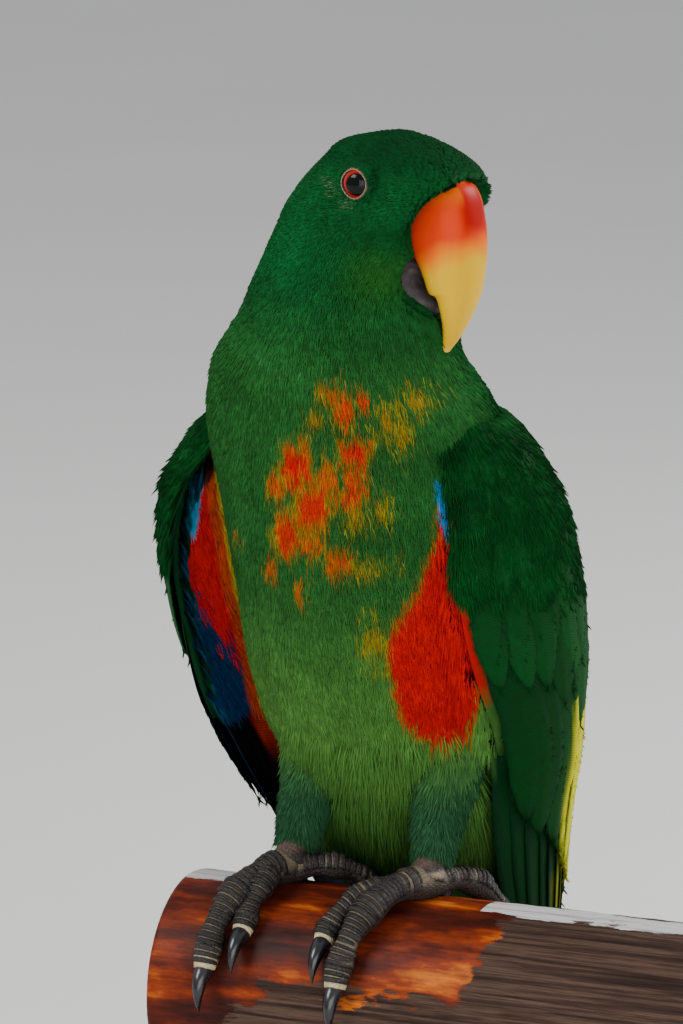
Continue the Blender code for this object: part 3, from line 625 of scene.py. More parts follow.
def coatDepth(place):
    # the coat's depth over the skin: thin on the head, thick on the body
    onBody, onHead = headSettings["coatOnBody"], headSettings["coatOnHead"]
    return (onBody + (onHead - onBody) * smoothStep(8, 12, place)) * mm


# Bill: rows from root to tip, each with forward and height of its upper and its lower edge, and half width
upperBillRows = (
    (14.0, 188.8, -1.0, 174.0, 7.8),
    (21.8, 186.6, 4.6, 170.6, 9.6),
    (24.6, 178.0, 8.6, 166.6, 9.6),
    (25.2, 169.4, 10.8, 162.4, 8.8),
    (24.6, 162.4, 12.0, 159.0, 7.6),
    (23.8, 158.8, 14.2, 158.0, 6.7),
    (21.8, 153.4, 15.2, 153.2, 4.9),
    (18.9, 148.0, 15.1, 148.2, 2.9),
    (15.9, 143.9, 14.1, 144.2, 1.2),
)
lowerBillRows = (
    (2.0, 173.0, -7.0, 164.0, 8.2),
    (7.6, 166.4, -1.5, 158.4, 9.4),
    (11.0, 161.6, 3.8, 154.2, 8.8),
    (13.6, 158.4, 9.2, 152.2, 7.0),
    (14.8, 156.6, 12.8, 153.2, 3.4),
)


def billRings(rows, count, sides):
    place = np.linspace(0, len(rows) - 1, count)
    topF, topH, lowF, lowH, halfWidth = np.moveaxis(readRows(rows, place), -1, 0)[..., None]
    angle = np.linspace(0, math.tau, sides, endpoint=False)[None]
    along = np.cos(angle)
    across = np.sign(np.sin(angle)) * np.abs(np.sin(angle)) ** 0.8 * halfWidth
    return headPoint((topF + lowF) / 2 + (topF - lowF) / 2 * along, across,
                     (topH + lowH) / 2 + (topH - lowH) / 2 * along)


def upperBillTint(points):
    forward, side, height = headPlace(points)
    red, orange = np.array((0.4, 0.001, 0.0)), np.array((0.74, 0.038, 0.0))
    amber, yellow = np.array((0.86, 0.19, 0.0)), np.array((0.74, 0.43, 0.0))
    cream, deep = np.array((0.9, 0.66, 0.2)), np.array((0.3, 0.006, 0.001))
    ripple = waves(points, 9 * mm, 5) * 0.8
    above = height - 166 - (forward - 11) * 0.45 + ripple
    tint = mix(orange, amber, smoothStep(4, -1.5, above))
    tint = mix(tint, yellow, smoothStep(1, -5.5, above))
    culmen = smoothStep(3, 6, forward - 17.5) * smoothStep(6.6, 3.4, abs(side))
    tint = mix(tint, red, culmen * smoothStep(1.5, 6, above + ripple))
    tint = mix(tint, deep, smoothStep(9.5, 6.5, forward) * smoothStep(167, 172, height) * 0.85)
    tint = mix(tint, amber, smoothStep(181, 186, height) * smoothStep(7, 11, forward) * 0.6 * (abs(side) > 4))
    tint = mix(tint, cream, smoothStep(187.2, 188.3, height) * 0.7)
    return mix(tint, cream, smoothStep(146, 143.8, height) * 0.5)


def makeBill():
    rings = billRings(upperBillRows, 110, 72)
    forward, side, height = headPlace(rings)
    groove = 0.16 * np.exp(-((abs(side) - 5.2) / 1.0) ** 2) * smoothStep(160, 168, height)
    rings = rings - headLeft * (np.sign(side) * groove * mm)[..., None]
    upper = loftMesh("upperBill", rings, finishes["bill"], upperBillTint(rings.reshape(-1, 3)))
    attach(upper, "root")
    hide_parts("bill_upper")
    rings = billRings(lowerBillRows, 60, 56)
    forward, side, height = headPlace(rings)
    tint = mix(paint(40, 34, 42), paint(120, 112, 104), smoothStep(2, -3, forward) * 0.8)
    gape = np.exp(-((forward - 9.5) / 2.4) ** 2 - ((height - 166.5) / 2.6) ** 2)
    tint = mix(tint, paint(205, 198, 196), gape * (0.4 + 0.6 * np.sin(forward * 9 + height * 5) ** 2))
    lower = loftMesh("lowerBill", rings, finishes["darkBill"], tint)
    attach(lower, "root")
    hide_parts("bill_lower")
    print("bill made")


def insideTest(rings):
    # a test of which points lie inside a closed form of rings, or nearer to it than a distance
    count, sides = rings.shape[:2]
    points = rings.reshape(-1, 3)
    quads = gridFaces(count, sides, ring=True)
    ends = [tuple(range(sides)), tuple(range((count - 1) * sides, count * sides))]
    tree = BVHTree.FromPolygons([tuple(p) for p in points], [tuple(q) for q in quads.tolist()] + ends)
    centres = rings.mean(1)

    def test(places, near):
        found = np.zeros(len(places), bool)
        for index, place in enumerate(places):
            spot, _, _, distance = tree.find_nearest(Vector(place))
            if distance < near:
                found[index] = True
                continue
            middle = Vector(centres[np.argmin(((centres - place) ** 2).sum(1))])
            deeper = (Vector(place) - middle).length < (spot - middle).length
            found[index] = deeper and distance < 12 * mm
        return found

    return test


# Eyes
eyeRow = 13
# The bare ring from its inner edge outwards: spread from the eye's centre, height, paleness
lidRows = ((3.42, 4.13, 0.1), (3.45, 4.36, 0.5), (3.52, 4.46, 0.9), (3.67, 4.44, 0.75), (3.84, 4.24, 0.35),
           (4.06, 3.92, 0.08), (4.4, 3.5, 0), (5.05, 2.6, 0), (5.7, 0.4, 0), (5.5, -0.4, 0), (3.65, 3.0, 0))


def eyeCentre(side):
    halfWidth = bodyRows[eyeRow][3]
    return headPoint(headSettings["eyeForward"], side * (halfWidth - headSettings["eyeDepth"]),
                     headSettings["eyeHeight"])


def eyeAxes(side):
    outward = headLeft * side
    gaze = unit(outward + headAhead * math.tan(math.radians(headSettings["gazeForward"])))
    across = unit(np.cross(np.array((0, 0, 1)), gaze))
    return gaze, across, np.cross(gaze, across)


def makeEyes():
    radius = headSettings["eyeRadius"]
    for side, label in ((-1, "right"), (1, "left")):
        centre = eyeCentre(side)
        gaze, across, lift = eyeAxes(side)
        polar = np.concatenate((np.linspace(0.02, 1.0, 44), np.linspace(1.06, 3.1, 26)))[:, None]
        angle = np.linspace(0, math.tau, 72, endpoint=False)[None]
        bulge = 0.35 * smoothStep(0.78, 0.35, polar) - 1.3 * smoothStep(0.8, 1.2, polar)
        reach = (radius + bulge)[..., None] * mm
        rings = centre + reach * (np.cos(polar)[..., None] * gaze
                                  + (np.sin(polar) * np.cos(angle))[..., None] * across
                                  + (np.sin(polar) * np.sin(angle))[..., None] * lift)
        irisEdge = math.asin(headSettings["irisRadius"] / radius)
        pupilEdge = math.asin(headSettings["pupilRadius"] / radius)
        spread = polar + 0 * angle
        ray = 0.5 + 0.5 * np.sin(angle * 37 + 2 * np.sin(angle * 11))
        iris = mix(paint(150, 6, 6), paint(205, 22, 12), ray * smoothStep(pupilEdge, irisEdge, spread))
        shift = math.radians(headSettings["pupilForward"])
        offset = np.hypot(polar * np.cos(angle) + side * shift, polar * np.sin(angle))
        tint = mix(paint(2, 2, 3), iris, smoothStep(pupilEdge - 0.02, pupilEdge + 0.04, offset))
        tint = mix(tint, paint(34, 8, 8), smoothStep(irisEdge - 0.05, irisEdge + 0.03, spread))
        eye = loftMesh(label + "Eye", rings, finishes["eye"], tint)
        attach(eye, "root")
        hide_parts("eye_" + label)
        makeLid(side, label, centre)
    print("eyes made")


def makeLid(side, label, centre):
    # a bare ring round the eye with a fine crinkled rim
    outward = headLeft * side
    lift = np.array((0, 0, 1.0))
    count = 96
    angle = np.linspace(0, math.tau, count, endpoint=False)
    rings = np.empty((len(lidRows), count, 3))
    for row, (spread, height, pale) in enumerate(lidRows):
        crinkle = 0.05 * np.sin(angle * 22 + row) * (1 <= row <= 5)
        wide = (spread + crinkle) * (1 + 0.04 * np.cos(2 * angle)) * np.cos(angle)
        tall = (spread + crinkle) * (1 - 0.03 * np.cos(2 * angle)) * np.sin(angle)
        rings[row] = (centre + headAhead * (wide * mm)[:, None] + lift * (tall * mm)[:, None]
                      + outward * ((height + crinkle) * mm)[:, None])
    quads = gridFaces(len(lidRows), count, ring=True)
    last = (len(lidRows) - 1) * count
    around = np.arange(count)
    seam = np.stack((last + around, last + (around + 1) % count, (around + 1) % count, around), 1)
    shade = np.repeat(np.array(lidRows)[:, 2:], count, 1)
    tint = mix(plumageColours["head"] * 0.5, paint(150, 128, 110), shade)
    lid = newMesh(label + "EyeRing", rings.reshape(-1, 3), np.concatenate((quads, seam)), finishes["lid"],
                  tint.reshape(-1, 3))
    turnOut(lid.data)
    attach(lid, "root")


# Markings of the plumage, in the chart's millimetres: across, up, half width, half height, redness, fullness
breastMarks = (
    (-6.0, 128.6, 4.7, 2.1, 0.2, 0.8), (-2.9, 123.9, 3.4, 4.2, 0.6, 0.85), (1.3, 126.5, 1.8, 2.6, 0.9, 0.9),
    (-10.4, 121.8, 3.6, 2.1, 0.05, 0.5), (7.5, 121.8, 5.7, 5.2, 0.2, 0.35), (14.8, 126.5, 4.4, 3.4, 0.25, 0.4),
    (11.4, 117.4, 2.1, 4.4, 0.5, 0.5), (-14.5, 110.6, 4.4, 6.2, 1, 1), (-19.7, 105.2, 3.1, 3.1, 0.3, 0.85),
    (-0.3, 114.0, 4.7, 3.6, 1, 0.95), (0.0, 107.3, 3.6, 2.1, 0.5, 0.8), (-0.8, 102.6, 3.9, 3.1, 0.8, 0.9),
    (0.3, 96.6, 4.2, 3.1, 0.1, 0.45), (-10.4, 100.0, 4.9, 6.2, 0.85, 0.95), (-7.0, 106.2, 3.4, 6.2, 0.1, 0.7),
    (-16.6, 93.0, 3.9, 6.0, 0.75, 0.95), (-10.4, 90.1, 4.2, 3.1, 0.15, 0.75), (-4.2, 85.5, 4.4, 3.1, 0.4, 0.75),
    (2.1, 83.9, 5.2, 2.3, 0.25, 0.5), (-20.5, 83.9, 1.8, 2.3, 0.4, 0.8), (-13.5, 77.9, 1.6, 3.6, 0.1, 0.6),
    (-29.1, 91.9, 1.0, 1.0, 0, 0.6), (6.8, 99.7, 2.3, 5.2, 0, 0.4), (10.4, 85.5, 1.6, 1.3, 0, 0.5),
    (4.7, 64.7, 3.6, 6.2, 0, 0.3),
)
# Outlines in the chart: the red of the left and the right flank, and the blue above the left one
flankPatches = (
    ((21.8, 103), (27, 93), (30, 76), (28.4, 62), (27.8, 50), (25.4, 40), (19.2, 39.5), (12.7, 43.9),
     (10.9, 51.7), (8.6, 64.7), (11.2, 69.9), (16.2, 77.7), (20, 89.4)),
    ((-41.3, 114), (-39.5, 107.5), (-36.6, 93.2), (-32.7, 77.7), (-29.4, 66.2), (-26.5, 49.1), (-24.4, 37.1),
     (-31, 34), (-62, 60), (-62, 116)),
)
blueSliver = ((19.8, 105), (25.6, 105), (27.8, 91), (21.2, 91))
eyeSpecks = ((-6.2, 183.2), (-5.7, 181.6), (-1.2, 177.4), (-2.3, 178.2))
plumageColours = {
    "head": np.array((0.004, 0.074, 0.016)),
    "cheek": np.array((0.018, 0.105, 0.013)),
    "breast": np.array((0.018, 0.11, 0.021)),
    "belly": np.array((0.092, 0.25, 0.045)),
    "back": np.array((0.001, 0.06, 0.008)),
    "thigh": np.array((0.022, 0.085, 0.034)),
    "red": np.array((0.55, 0.003, 0.001)),
    "orange": np.array((0.52, 0.085, 0.002)),
    "olive": np.array((0.3, 0.24, 0.008)),
    "blue": np.array((0.004, 0.26, 0.6)),
    "speck": np.array((0.3, 0.32, 0.2)),
    "shoulderDark": np.array((0.0008, 0.032, 0.005)),
    "wingDark": np.array((0.001, 0.042, 0.006)),
    "wingLight": np.array((0.003, 0.066, 0.01)),
    "backlitRimYellow": np.array((0.6, 0.6, 0.0)),
}


def insidePolygon(outline, across, up):
    # how far inside an outline each place lies, in millimetres, less than 0 outside
    inside = np.zeros(across.shape, bool)
    nearest = np.full(across.shape, 1e9)
    for (ax, ay), (bx, by) in zip(outline, outline[1:] + outline[:1]):
        crosses = (ay > up) != (by > up)
        inside ^= crosses & (across < (bx - ax) * (up - ay) / (by - ay + 1e-12) + ax)
        along = (across - ax) * (bx - ax) + (up - ay) * (by - ay)
        part = np.clip(along / ((bx - ax) ** 2 + (by - ay) ** 2), 0, 1)
        nearest = np.minimum(nearest, np.hypot(across - ax - part * (bx - ax), up - ay - part * (by - ay)))
    return np.where(inside, nearest, -nearest)


def warmth(tint, value, redness):
    # from the green through olive and orange to red as the value rises past 0
    tint = mix(tint, plumageColours["olive"], smoothStep(-0.26, -0.04, value) * 0.8)
    tint = mix(tint, plumageColours["orange"], smoothStep(-0.06, 0.16, value) * 0.95)
    return mix(tint, plumageColours["red"], smoothStep(0.06, 0.28, value) * redness)


def plainGreens(points, normals):
    # the greens without markings: back, breast, belly, head and cheek, darker towards the crown, and a painted
    # sheen that lightens the nape
    height = (points[:, 2] - railTop) / mm
    facing = normals @ np.array((0, -1.0, 0))
    colours = plumageColours
    tint = mix(colours["back"], colours["breast"], smoothStep(-0.35, 0.35, facing))
    tint = mix(tint, colours["belly"], smoothStep(92, 30, height) * smoothStep(-0.2, 0.5, facing))
    tint = mix(tint, colours["head"], smoothStep(136, 168, height))
    cloud = 1 + 0.12 * waves(points, 16 * mm, 9) + 0.08 * waves(points * np.array((1, 1, 0.3)), 3 * mm, 10)
    tint = tint * cloud[:, None]
    forward, side, headHeight = headPlace(points)
    # painted sheen: the nape made lighter as if light shone on it; the crown made darker
    napeSheen = smoothStep(-8, -16, forward) * smoothStep(158, 166, headHeight) * smoothStep(192, 186, headHeight)
    tint = tint * (1 - 0.3 * smoothStep(186, 195, headHeight) + 0.35 * napeSheen)[:, None]
    cheek = np.exp(-((forward - 5) / 7) ** 2 - ((headHeight - 164) / 8) ** 2)
    return mix(tint, colours["cheek"], cheek * 0.8)


def breastWarmth(across, up, ragged, stray):
    # how far inside a mark of the breast each place lies, and that mark's redness
    best = np.full(len(across), farOutside)
    redness = np.zeros(len(across))
    for markAcross, markUp, halfWidth, halfHeight, red, full in breastMarks:
        spread = ((across - markAcross) / halfWidth) ** 2 + ((up - markUp) / halfHeight) ** 2
        value = 1 - np.sqrt(spread) + ragged
        value = value - 0.13 - (1 - full) * (0.6 + 0.85 * stray)
        value = np.minimum(value, 9 if full > 0.55 else 0.03 + 0.06 * stray)
        redness = np.where(value > best, red, redness)
        best = np.maximum(best, value)
    return best, redness


def plumageTint(points, normals, jitter):
    # the greens with the breast's marks, the flanks' red, the blue sliver and the specks behind the eye
    height = (points[:, 2] - railTop) / mm
    tint = plainGreens(points, normals)
    across, up = chart(points)
    across = across + jitter[:, 0]
    up = up + jitter[:, 1] * 1.6
    toView = normals @ np.array(viewBack)
    seen = toView > 0.05
    ragged = waves(points * np.array((1, 1, 0.4)), 2.6 * mm, 8) * 0.22
    stray = jitter[:, 0] / 0.54
    best, redness = breastWarmth(across, up, ragged, stray)
    tint = warmth(tint, np.where(seen & (height > 60), best, farOutside), redness)
    near, far = (insidePolygon(outline, across, up + ragged * 3) for outline in flankPatches)
    rim = np.clip((across - 22.5 + (up - 100) * 0.11) / 2.5, 0, 1)
    near = np.where(seen & (height > 20), (near + 0.7 + ragged * 2) / 2.4, farOutside)
    tint = warmth(tint, near, 1 - 0.55 * rim)
    sliver = insidePolygon(blueSliver, across, up)
    tint = mix(tint, plumageColours["blue"], smoothStep(-0.3, 0.3, sliver) * seen)
    for speckAcross, speckUp in eyeSpecks:
        speck = np.exp(-((across - speckAcross) ** 2 + (up - speckUp) ** 2) / 0.7) * seen * (stray > 0)
        tint = mix(tint, plumageColours["speck"], speck * 0.4)
    return warmth(tint, np.where((toView > -0.5) & (height > 20), (far + 0.4) / 2.4, farOutside), 1.0)


# Coat: fans of fine barbs laid in rows from the crown to the tail
coatSettings = {
    "bodySpacing": 1.85,
    "headSpacing": 1.2,
    "bodyLength": 7.6,
    "headLength": 3.8,
    "faceLength": 1.9,
    "bodyBarbs": 13,
    "headBarbs": 9,
    "barbWidth": 0.27,
    "headBarbWidth": 0.2,
    "capFeathers": 46,
    "eyeClearance": 5.25,
    "fan": 0.3,
    "barbsPerPiece": 45000,
    "seed": 11,
    "patch": 0.003,
}
# Softer coats: feathers, barbs in each, fan, half a barb's width, rise, half width of a feather's root
fluffSettings = {
    "thigh": (1500, 7, 0.32, 0.2, 1.9, 1.5),
    "vent": (2300, 9, 0.26, 0.17, 1.8, 1.9),
    "shoulder": (2300, 11, 0.26, 0.14, 2.4, 1.8),
    "lining": (2600, 7, 0.3, 0.22, 1.5, 1.6),
    "eyeTufts": 190,
    "ventHalfWidth": 22,
    "shoulderReach": 0.33,
}
# Where the left flank meets the wing, in the chart: across, up
flankGap = ((33.5, 30.4, 27.5, 25.7, 23.6, 23), (38.7, 49.1, 59.5, 69.9, 90.6, 100))


def coatRoots(chance):
    # feathers' roots in rows round the body, closer on the head
    fine = np.linspace(0, lastRow, 35 * lastRow + 1)
    angles = np.linspace(0, math.tau, 48, endpoint=False)
    shell = bodyShape(fine[:, None] + 0 * angles[None], angles[None] + 0 * fine[:, None])
    reach = np.concatenate(((0,), np.cumsum(np.linalg.norm(np.diff(shell, axis=0), axis=2).max(1))))
    girth = np.linalg.norm(np.roll(shell, -1, axis=1) - shell, axis=2).sum(1)
    spacing = (coatSettings["bodySpacing"] + (coatSettings["headSpacing"] - coatSettings["bodySpacing"])
               * smoothStep(8.2, 11, fine)) * mm
    count = np.concatenate(((0,), np.cumsum(np.diff(reach) / spacing[1:])))
    places, turns = [], []
    for row in range(int(count[-1])):
        place = np.interp(row + 0.5, count, fine)
        number = max(5, int(np.interp(place, fine, girth / spacing)))
        shares = (np.arange(number) + 0.5 * (row % 2) + chance.uniform(-0.34, 0.34, number)) / number
        turns.append(evenTurns(place, shares))
        step = np.interp(place, fine, np.gradient(fine, count))
        places.append(place + chance.uniform(-0.3, 0.3, number) * step)
    return np.clip(np.concatenate(places), 0, lastRow), np.concatenate(turns)


def coatHome(place, angle):
    # a root's place on the unwrapped skin: around, and from vent to crown above the strip of the thighs
    return np.stack((angle / math.tau % 1, 0.07 + 0.92 * place / lastRow), 1)


def featherFlow(points, normals):
    # the way the feathers lie: away from the bill on the head, down the body below it
    billRoot = headPoint(17, 0, 178)
    away = points - billRoot
    distance = np.linalg.norm(away, axis=1) / mm
    close = np.exp(-(distance / 30) ** 2)[:, None]
    down = unit(np.array((0, 0.3, -1.0)))
    forward, side, height = headPlace(points)
    crown = smoothStep(172, 190, height)[:, None]
    down = unit(down * (1 - 0.75 * crown) - headAhead * 1.1 * crown)
    return unit(alongSurface(unit(away) * close + down * (1 - close * 0.75), normals))


def barbMesh(name, roots, normals, ways, lengths, halfWidths, rise, tints, homes):
    # each barb is a slim closed kite: root, widest place and tip
    across = unit(np.cross(normals, ways))
    root = roots - normals * (0.45 * mm)
    middle = roots + ways * (lengths * 0.46)[:, None] + normals * (rise * 0.85)[:, None]
    tip = roots + ways * lengths[:, None] + normals * rise[:, None]
    left = middle + across * halfWidths[:, None]
    right = middle - across * halfWidths[:, None]
    points = np.stack((root, left, right, tip), 1).reshape(-1, 3)
    single = np.array(((0, 2, 1), (1, 2, 3), (0, 1, 3), (0, 3, 2)))
    faces = (np.arange(len(roots))[:, None, None] * 4 + single[None]).reshape(-1, 3)
    low, high = tints
    tint = np.stack((low * 0.62, low * 0.96, low * 0.96, high), 1).reshape(-1, 3)
    soft = unit(normals + ways * 0.12)
    shades = np.stack((soft, unit(soft + across * 0.35), unit(soft - across * 0.35), soft), 1).reshape(-1, 3)
    half = coatSettings["patch"] / 2
    corner = np.array(((0, -1), (-1, 0), (1, 0), (0, 1))) * half
    bake = (homes[:, None] + corner[None]).reshape(-1, 2)
    return newMesh(name, points, faces, finishes["plumage"], tint, bake, None, shades)


def spreadFans(chance, roots, normals, ways, lengths, widths, barbs, fanAngle):
    # turns each feather into a fan of barbs
    count = len(roots)
    share = np.linspace(-1, 1, barbs)[None] + chance.uniform(-0.12, 0.12, (count, barbs))
    across = unit(np.cross(normals, ways))
    angle = share * fanAngle + chance.normal(0, 0.05, (count, 1))
    way = ways[:, None] * np.cos(angle)[..., None] + across[:, None] * np.sin(angle)[..., None]
    start = roots[:, None] + across[:, None] * (share * widths[:, None])[..., None]
    length = lengths[:, None] * (1 - 0.24 * share ** 2) * chance.uniform(0.86, 1.08, (count, barbs))
    slip = lengths[:, None] * 0.1 * chance.uniform(-1, 1, (count, barbs))
    start = start + ways[:, None] * slip[..., None]
    flat = lambda values: values.reshape(count * barbs, -1)
    owner = np.repeat(np.arange(count), barbs)
    return flat(start), normals[owner], unit(flat(way)), length.ravel(), owner


def coatPieces(name, chance, roots, normals, ways, lengths, halfWidth, rise, barbs, fan, spread, homes,
               tintOf):
    # a coat of fans in pieces of a fair size, each barb with its own brightness
    start, normal, way, length, owner = spreadFans(chance, roots, normals, ways, lengths, spread, barbs, fan)
    rises = rise[owner] * chance.uniform(0.75, 1.12, len(owner))
    jitter = np.stack([np.repeat(chance.normal(0, 0.3, len(roots)), barbs) + chance.normal(0, own, len(owner))
                       for own in (0.45, 0.6)], 1)
    bright = np.repeat(chance.normal(1, 0.06, len(roots)), barbs) * chance.normal(1, 0.11, len(owner))
    bright = bright[:, None]
    middle = tintOf(start + way * (length * 0.45)[:, None], normal, jitter) * bright
    tip = tintOf(start + way * (length * 0.9)[:, None], normal, jitter) * bright * 1.06
    widths = halfWidth * chance.uniform(0.75, 1.25, len(owner))
    limit = coatSettings["barbsPerPiece"]
    for part in range(math.ceil(len(start) / limit)):
        pick = slice(part * limit, (part + 1) * limit)
        chosen = (values[pick] for values in (start, normal, way, length, widths, rises))
        piece = barbMesh(f"{name}{part + 1}", *chosen, (middle[pick], tip[pick]), homes[owner][pick])
        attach(piece, "root")
    print(name, len(start), "barbs")


def fluffPieces(name, kind, chance, roots, normals, ways, lengths, homes, tintOf):
    # a softer coat, with its fans as the settings give them
    barbs, fan, halfWidth, rise, spread = fluffSettings[kind][1:]
    rises, spreads = np.full(len(roots), rise * mm), np.full(len(roots), spread * mm)
    coatPieces(name, chance, roots, normals, ways, lengths, halfWidth * mm, rises, barbs, fan, spreads, homes,
               tintOf)


def makeSkin():
    # one skin under the coat, from the vent over the trunk, neck and head, with the thighs
    places = np.linspace(0, lastRow, 12 * lastRow + 1)
    shares = np.linspace(0, 1, 112, endpoint=False)
    angles = np.stack([evenTurns(place, shares) for place in places])
    skin = loftMesh("bodySkin", skinPoints(places[:, None] + 0 * angles, angles), finishes["plumage"])
    for side in (-1, 1):
        thigh = loftMesh("thighSkin", thighRings(side, 20, 32), finishes["plumage"])
        union = skin.modifiers.new("union", "BOOLEAN")
        union.operation = "UNION"
        union.solver = "EXACT"
        union.object = thigh
        applyChanges(skin)
        bpy.data.objects.remove(thigh)
    points = meshPoints(skin.data)
    normals = np.empty(points.size, np.float32)
    skin.data.vertices.foreach_get("normal", normals)
    normals = normals.reshape(-1, 3).astype(float)
    setTint(skin.data, plumageTint(points, normals, np.zeros((len(points), 2))) * 0.7)
    skin.data.shade_smooth()
    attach(skin, "root")
    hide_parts("torso", "neck", "head", "thigh_left", "thigh_right")
    print("skin made")


# Legs: the feathered thigh, the ankle and the toes round the rail
legSettings = {
    "hip": (17.5, 26, 46),
    "thighEnd": (19.5, 6, 11.5),
    "foot": (19.5, 1, 5.2),
    "thighRadii": (13, 10.8, 7.6, 5.2),
    "thighCoat": 3.2,
    "ankleRadii": (2.4, 5.2, 4.9, 4.1, 3.8),
    "toeSink": 0.7,
    "toeArch": 1.6,
    "scuteStep": 1.5,
    "clawLength": 12,
    "clawRadius": 2.3,
    "clawCurl": 84,
    "clawSplit": 0.43,
}
# Each toe: name, place along the rail and angle round it at its end, radius at its root and its end
toes = {
    "right": (("outer_front", -30, -70, 4.6, 3.4), ("inner_front", -22, -50, 4.0, 3.0),
              ("outer_back", -28, 62, 4.2, 3.1), ("inner_back", -3, 24, 3.8, 2.8)),
    "left": (("outer_front", 7, -72, 4.6, 3.4), ("inner_front", 1, -50, 4.0, 3.0),
             ("outer_back", 31, 60, 4.2, 3.1), ("inner_back", 15, 58, 3.8, 2.8)),
}


def legPoint(side, values):
    return np.array((side * values[0] * mm, values[1] * mm, railTop + values[2] * mm))


def tubeRings(path, radii, sides, up=(0, 0, 1)):
    # rings of points round a path
    ahead = unit(np.gradient(path, axis=0))
    across = unit(np.cross(ahead, up))
    lift = np.cross(across, ahead)
    angle = np.linspace(0, math.tau, sides, endpoint=False)[None, :, None]
    around = across[:, None] * np.cos(angle) + lift[:, None] * np.sin(angle)
    return path[:, None] + around * radii[:, None, None]


def thighRings(side, count, sides):
    part = np.linspace(0, 1, count)
    hip, end = legPoint(side, legSettings["hip"]), legPoint(side, legSettings["thighEnd"])
    path = hip + (end - hip) * part[:, None]
    radii = np.interp(part * 3, (0, 1, 2, 3), legSettings["thighRadii"])
    radii = radii - legSettings["thighCoat"] * smoothStep(0, 0.4, 1.35 - part)
    return tubeRings(path, radii * mm, sides)


def thighTint(points, normals, jitter):
    # the plumage's colours, turning to the thigh's green lower down
    height = (points[:, 2] - railTop) / mm + jitter[:, 1]
    plain = plumageTint(points, normals, jitter)
    return mix(plain, plumageColours["thigh"], smoothStep(44, 18, height))


def makeThighCoat(chance):
    number = fluffSettings["thigh"][0]
    count, sides = 41, 64
    roots, normals, homes = [], [], []
    for side in (-1, 1):
        part = chance.uniform(0.0, 1.0, number) ** 0.8
        angle = chance.uniform(0, math.tau, number)
        rings = thighRings(side, count, sides)
        row = np.minimum((part * (count - 1)).astype(int), count - 1)
        column = (angle / math.tau * sides).astype(int) % sides
        points = rings[row, column] + chance.normal(0, 0.3 * mm, (number, 3))
        roots.append(points)
        normals.append(unit(points - rings.mean(1)[row]))
        homes.append(np.stack((0.26 + 0.24 * side + 0.46 * angle / math.tau, 0.005 + 0.055 * part), 1))
    roots, normals, homes = (np.concatenate(values) for values in (roots, normals, homes))
    down = np.array((0, -0.25, -1.0))
    ways = unit(down - normals * (normals @ down)[:, None])
    lengths = chance.uniform(5.5, 8.5, len(roots)) * mm
    fluffPieces("thighCoat", "thigh", chance, roots, normals, ways, lengths, homes, thighTint)


def makeVentCoat(chance):
    # long soft feathers that hang from the belly over the thighs' roots and between the legs
    count = fluffSettings["vent"][0]
    place = chance.uniform(0.3, 3.7, count)
    angle = math.pi / 2 + chance.uniform(-0.95, 0.95, count)
    points = skinPoints(place, angle)
    keep = np.abs(points[:, 0]) < fluffSettings["ventHalfWidth"] * mm
    place, angle, points, count = place[keep], angle[keep], points[keep], keep.sum()
    normals = slopes(skinPoints, place, angle)
    ways = unit(unit(np.array((0, 0.22, -1.0)) + normals * 0.22 + chance.normal(0, 0.07, (count, 3))))
    lengths = (chance.uniform(10, 16, count) * smoothStep(4.6, 2.6, place) + 4) * mm
    homes = coatHome(place, angle)
    fluffPieces("ventCoat", "vent", chance, points, normals, ways, lengths, homes, plumageTint)


def eyeTufts(chance, eyeSide):
    # small feathers on the slope of the bare ring, which part round the eye
    turn = chance.uniform(0, math.tau, fluffSettings["eyeTufts"])
    spread = chance.uniform(4.12, 5.65, len(turn))
    radial = headAhead * np.cos(turn)[:, None] + np.array((0, 0, 1.0)) * np.sin(turn)[:, None]
    outward = headLeft * eyeSide
    height = np.interp(spread, (4.1, 5.05, 5.7), (3.4, 2.2, 0.1))
    spots = eyeCentre(eyeSide) + radial * (spread * mm)[:, None] + outward * (height * mm)[:, None]
    normals = unit(outward + radial * 0.6)
    ways = featherFlow(spots, normals)
    inward = np.minimum((ways * radial).sum(1, keepdims=True) - 0.15, 0)
    return spots, normals, unit(ways - radial * inward)


def coatPlaces(chance):
    # roots over the trunk, neck and head, with a cap on the crown: place, angle, points, normals
    place, angle = coatRoots(chance)
    cap = chance.uniform(0, 1, coatSettings["capFeathers"]) ** 0.5
    capAngle = chance.uniform(0, math.tau, len(cap))
    crown = np.full(len(cap), float(lastRow))
    capRim = skinPoints(crown, capAngle)
    capPoints = capRim.mean(0) + (capRim - capRim.mean(0)) * cap[:, None]
    capNormals = unit(capPoints - capPoints.mean(0) + np.array((0, 0, 12 * mm)))
    points = np.concatenate((skinPoints(place, angle), capPoints))
    normals = np.concatenate((slopes(skinPoints, place, angle), capNormals))
    return np.concatenate((place, crown)), np.concatenate((angle, capAngle)), points, normals


def clearOfFace(points):
    # which roots stay clear of the eyes and the bill, and which of these border on the bill
    forward, side, height = headPlace(points)
    keep = np.ones(len(points), bool)
    for eyeSide in (-1, 1):
        keep &= np.linalg.norm(points - eyeCentre(eyeSide), axis=1) > coatSettings["eyeClearance"] * mm
    nearBill = (forward > -12) & (height > 140)
    border = np.zeros(len(points), bool)
    for rows in (upperBillRows, lowerBillRows):
        test = insideTest(billRings(rows, 40, 32))
        pick = np.where(nearBill & keep)[0]
        keep[pick] &= ~test(points[pick], 0.2 * mm)
        pick = np.where(nearBill & keep)[0]
        border[pick] |= test(points[pick], 1.7 * mm)
    return keep, border


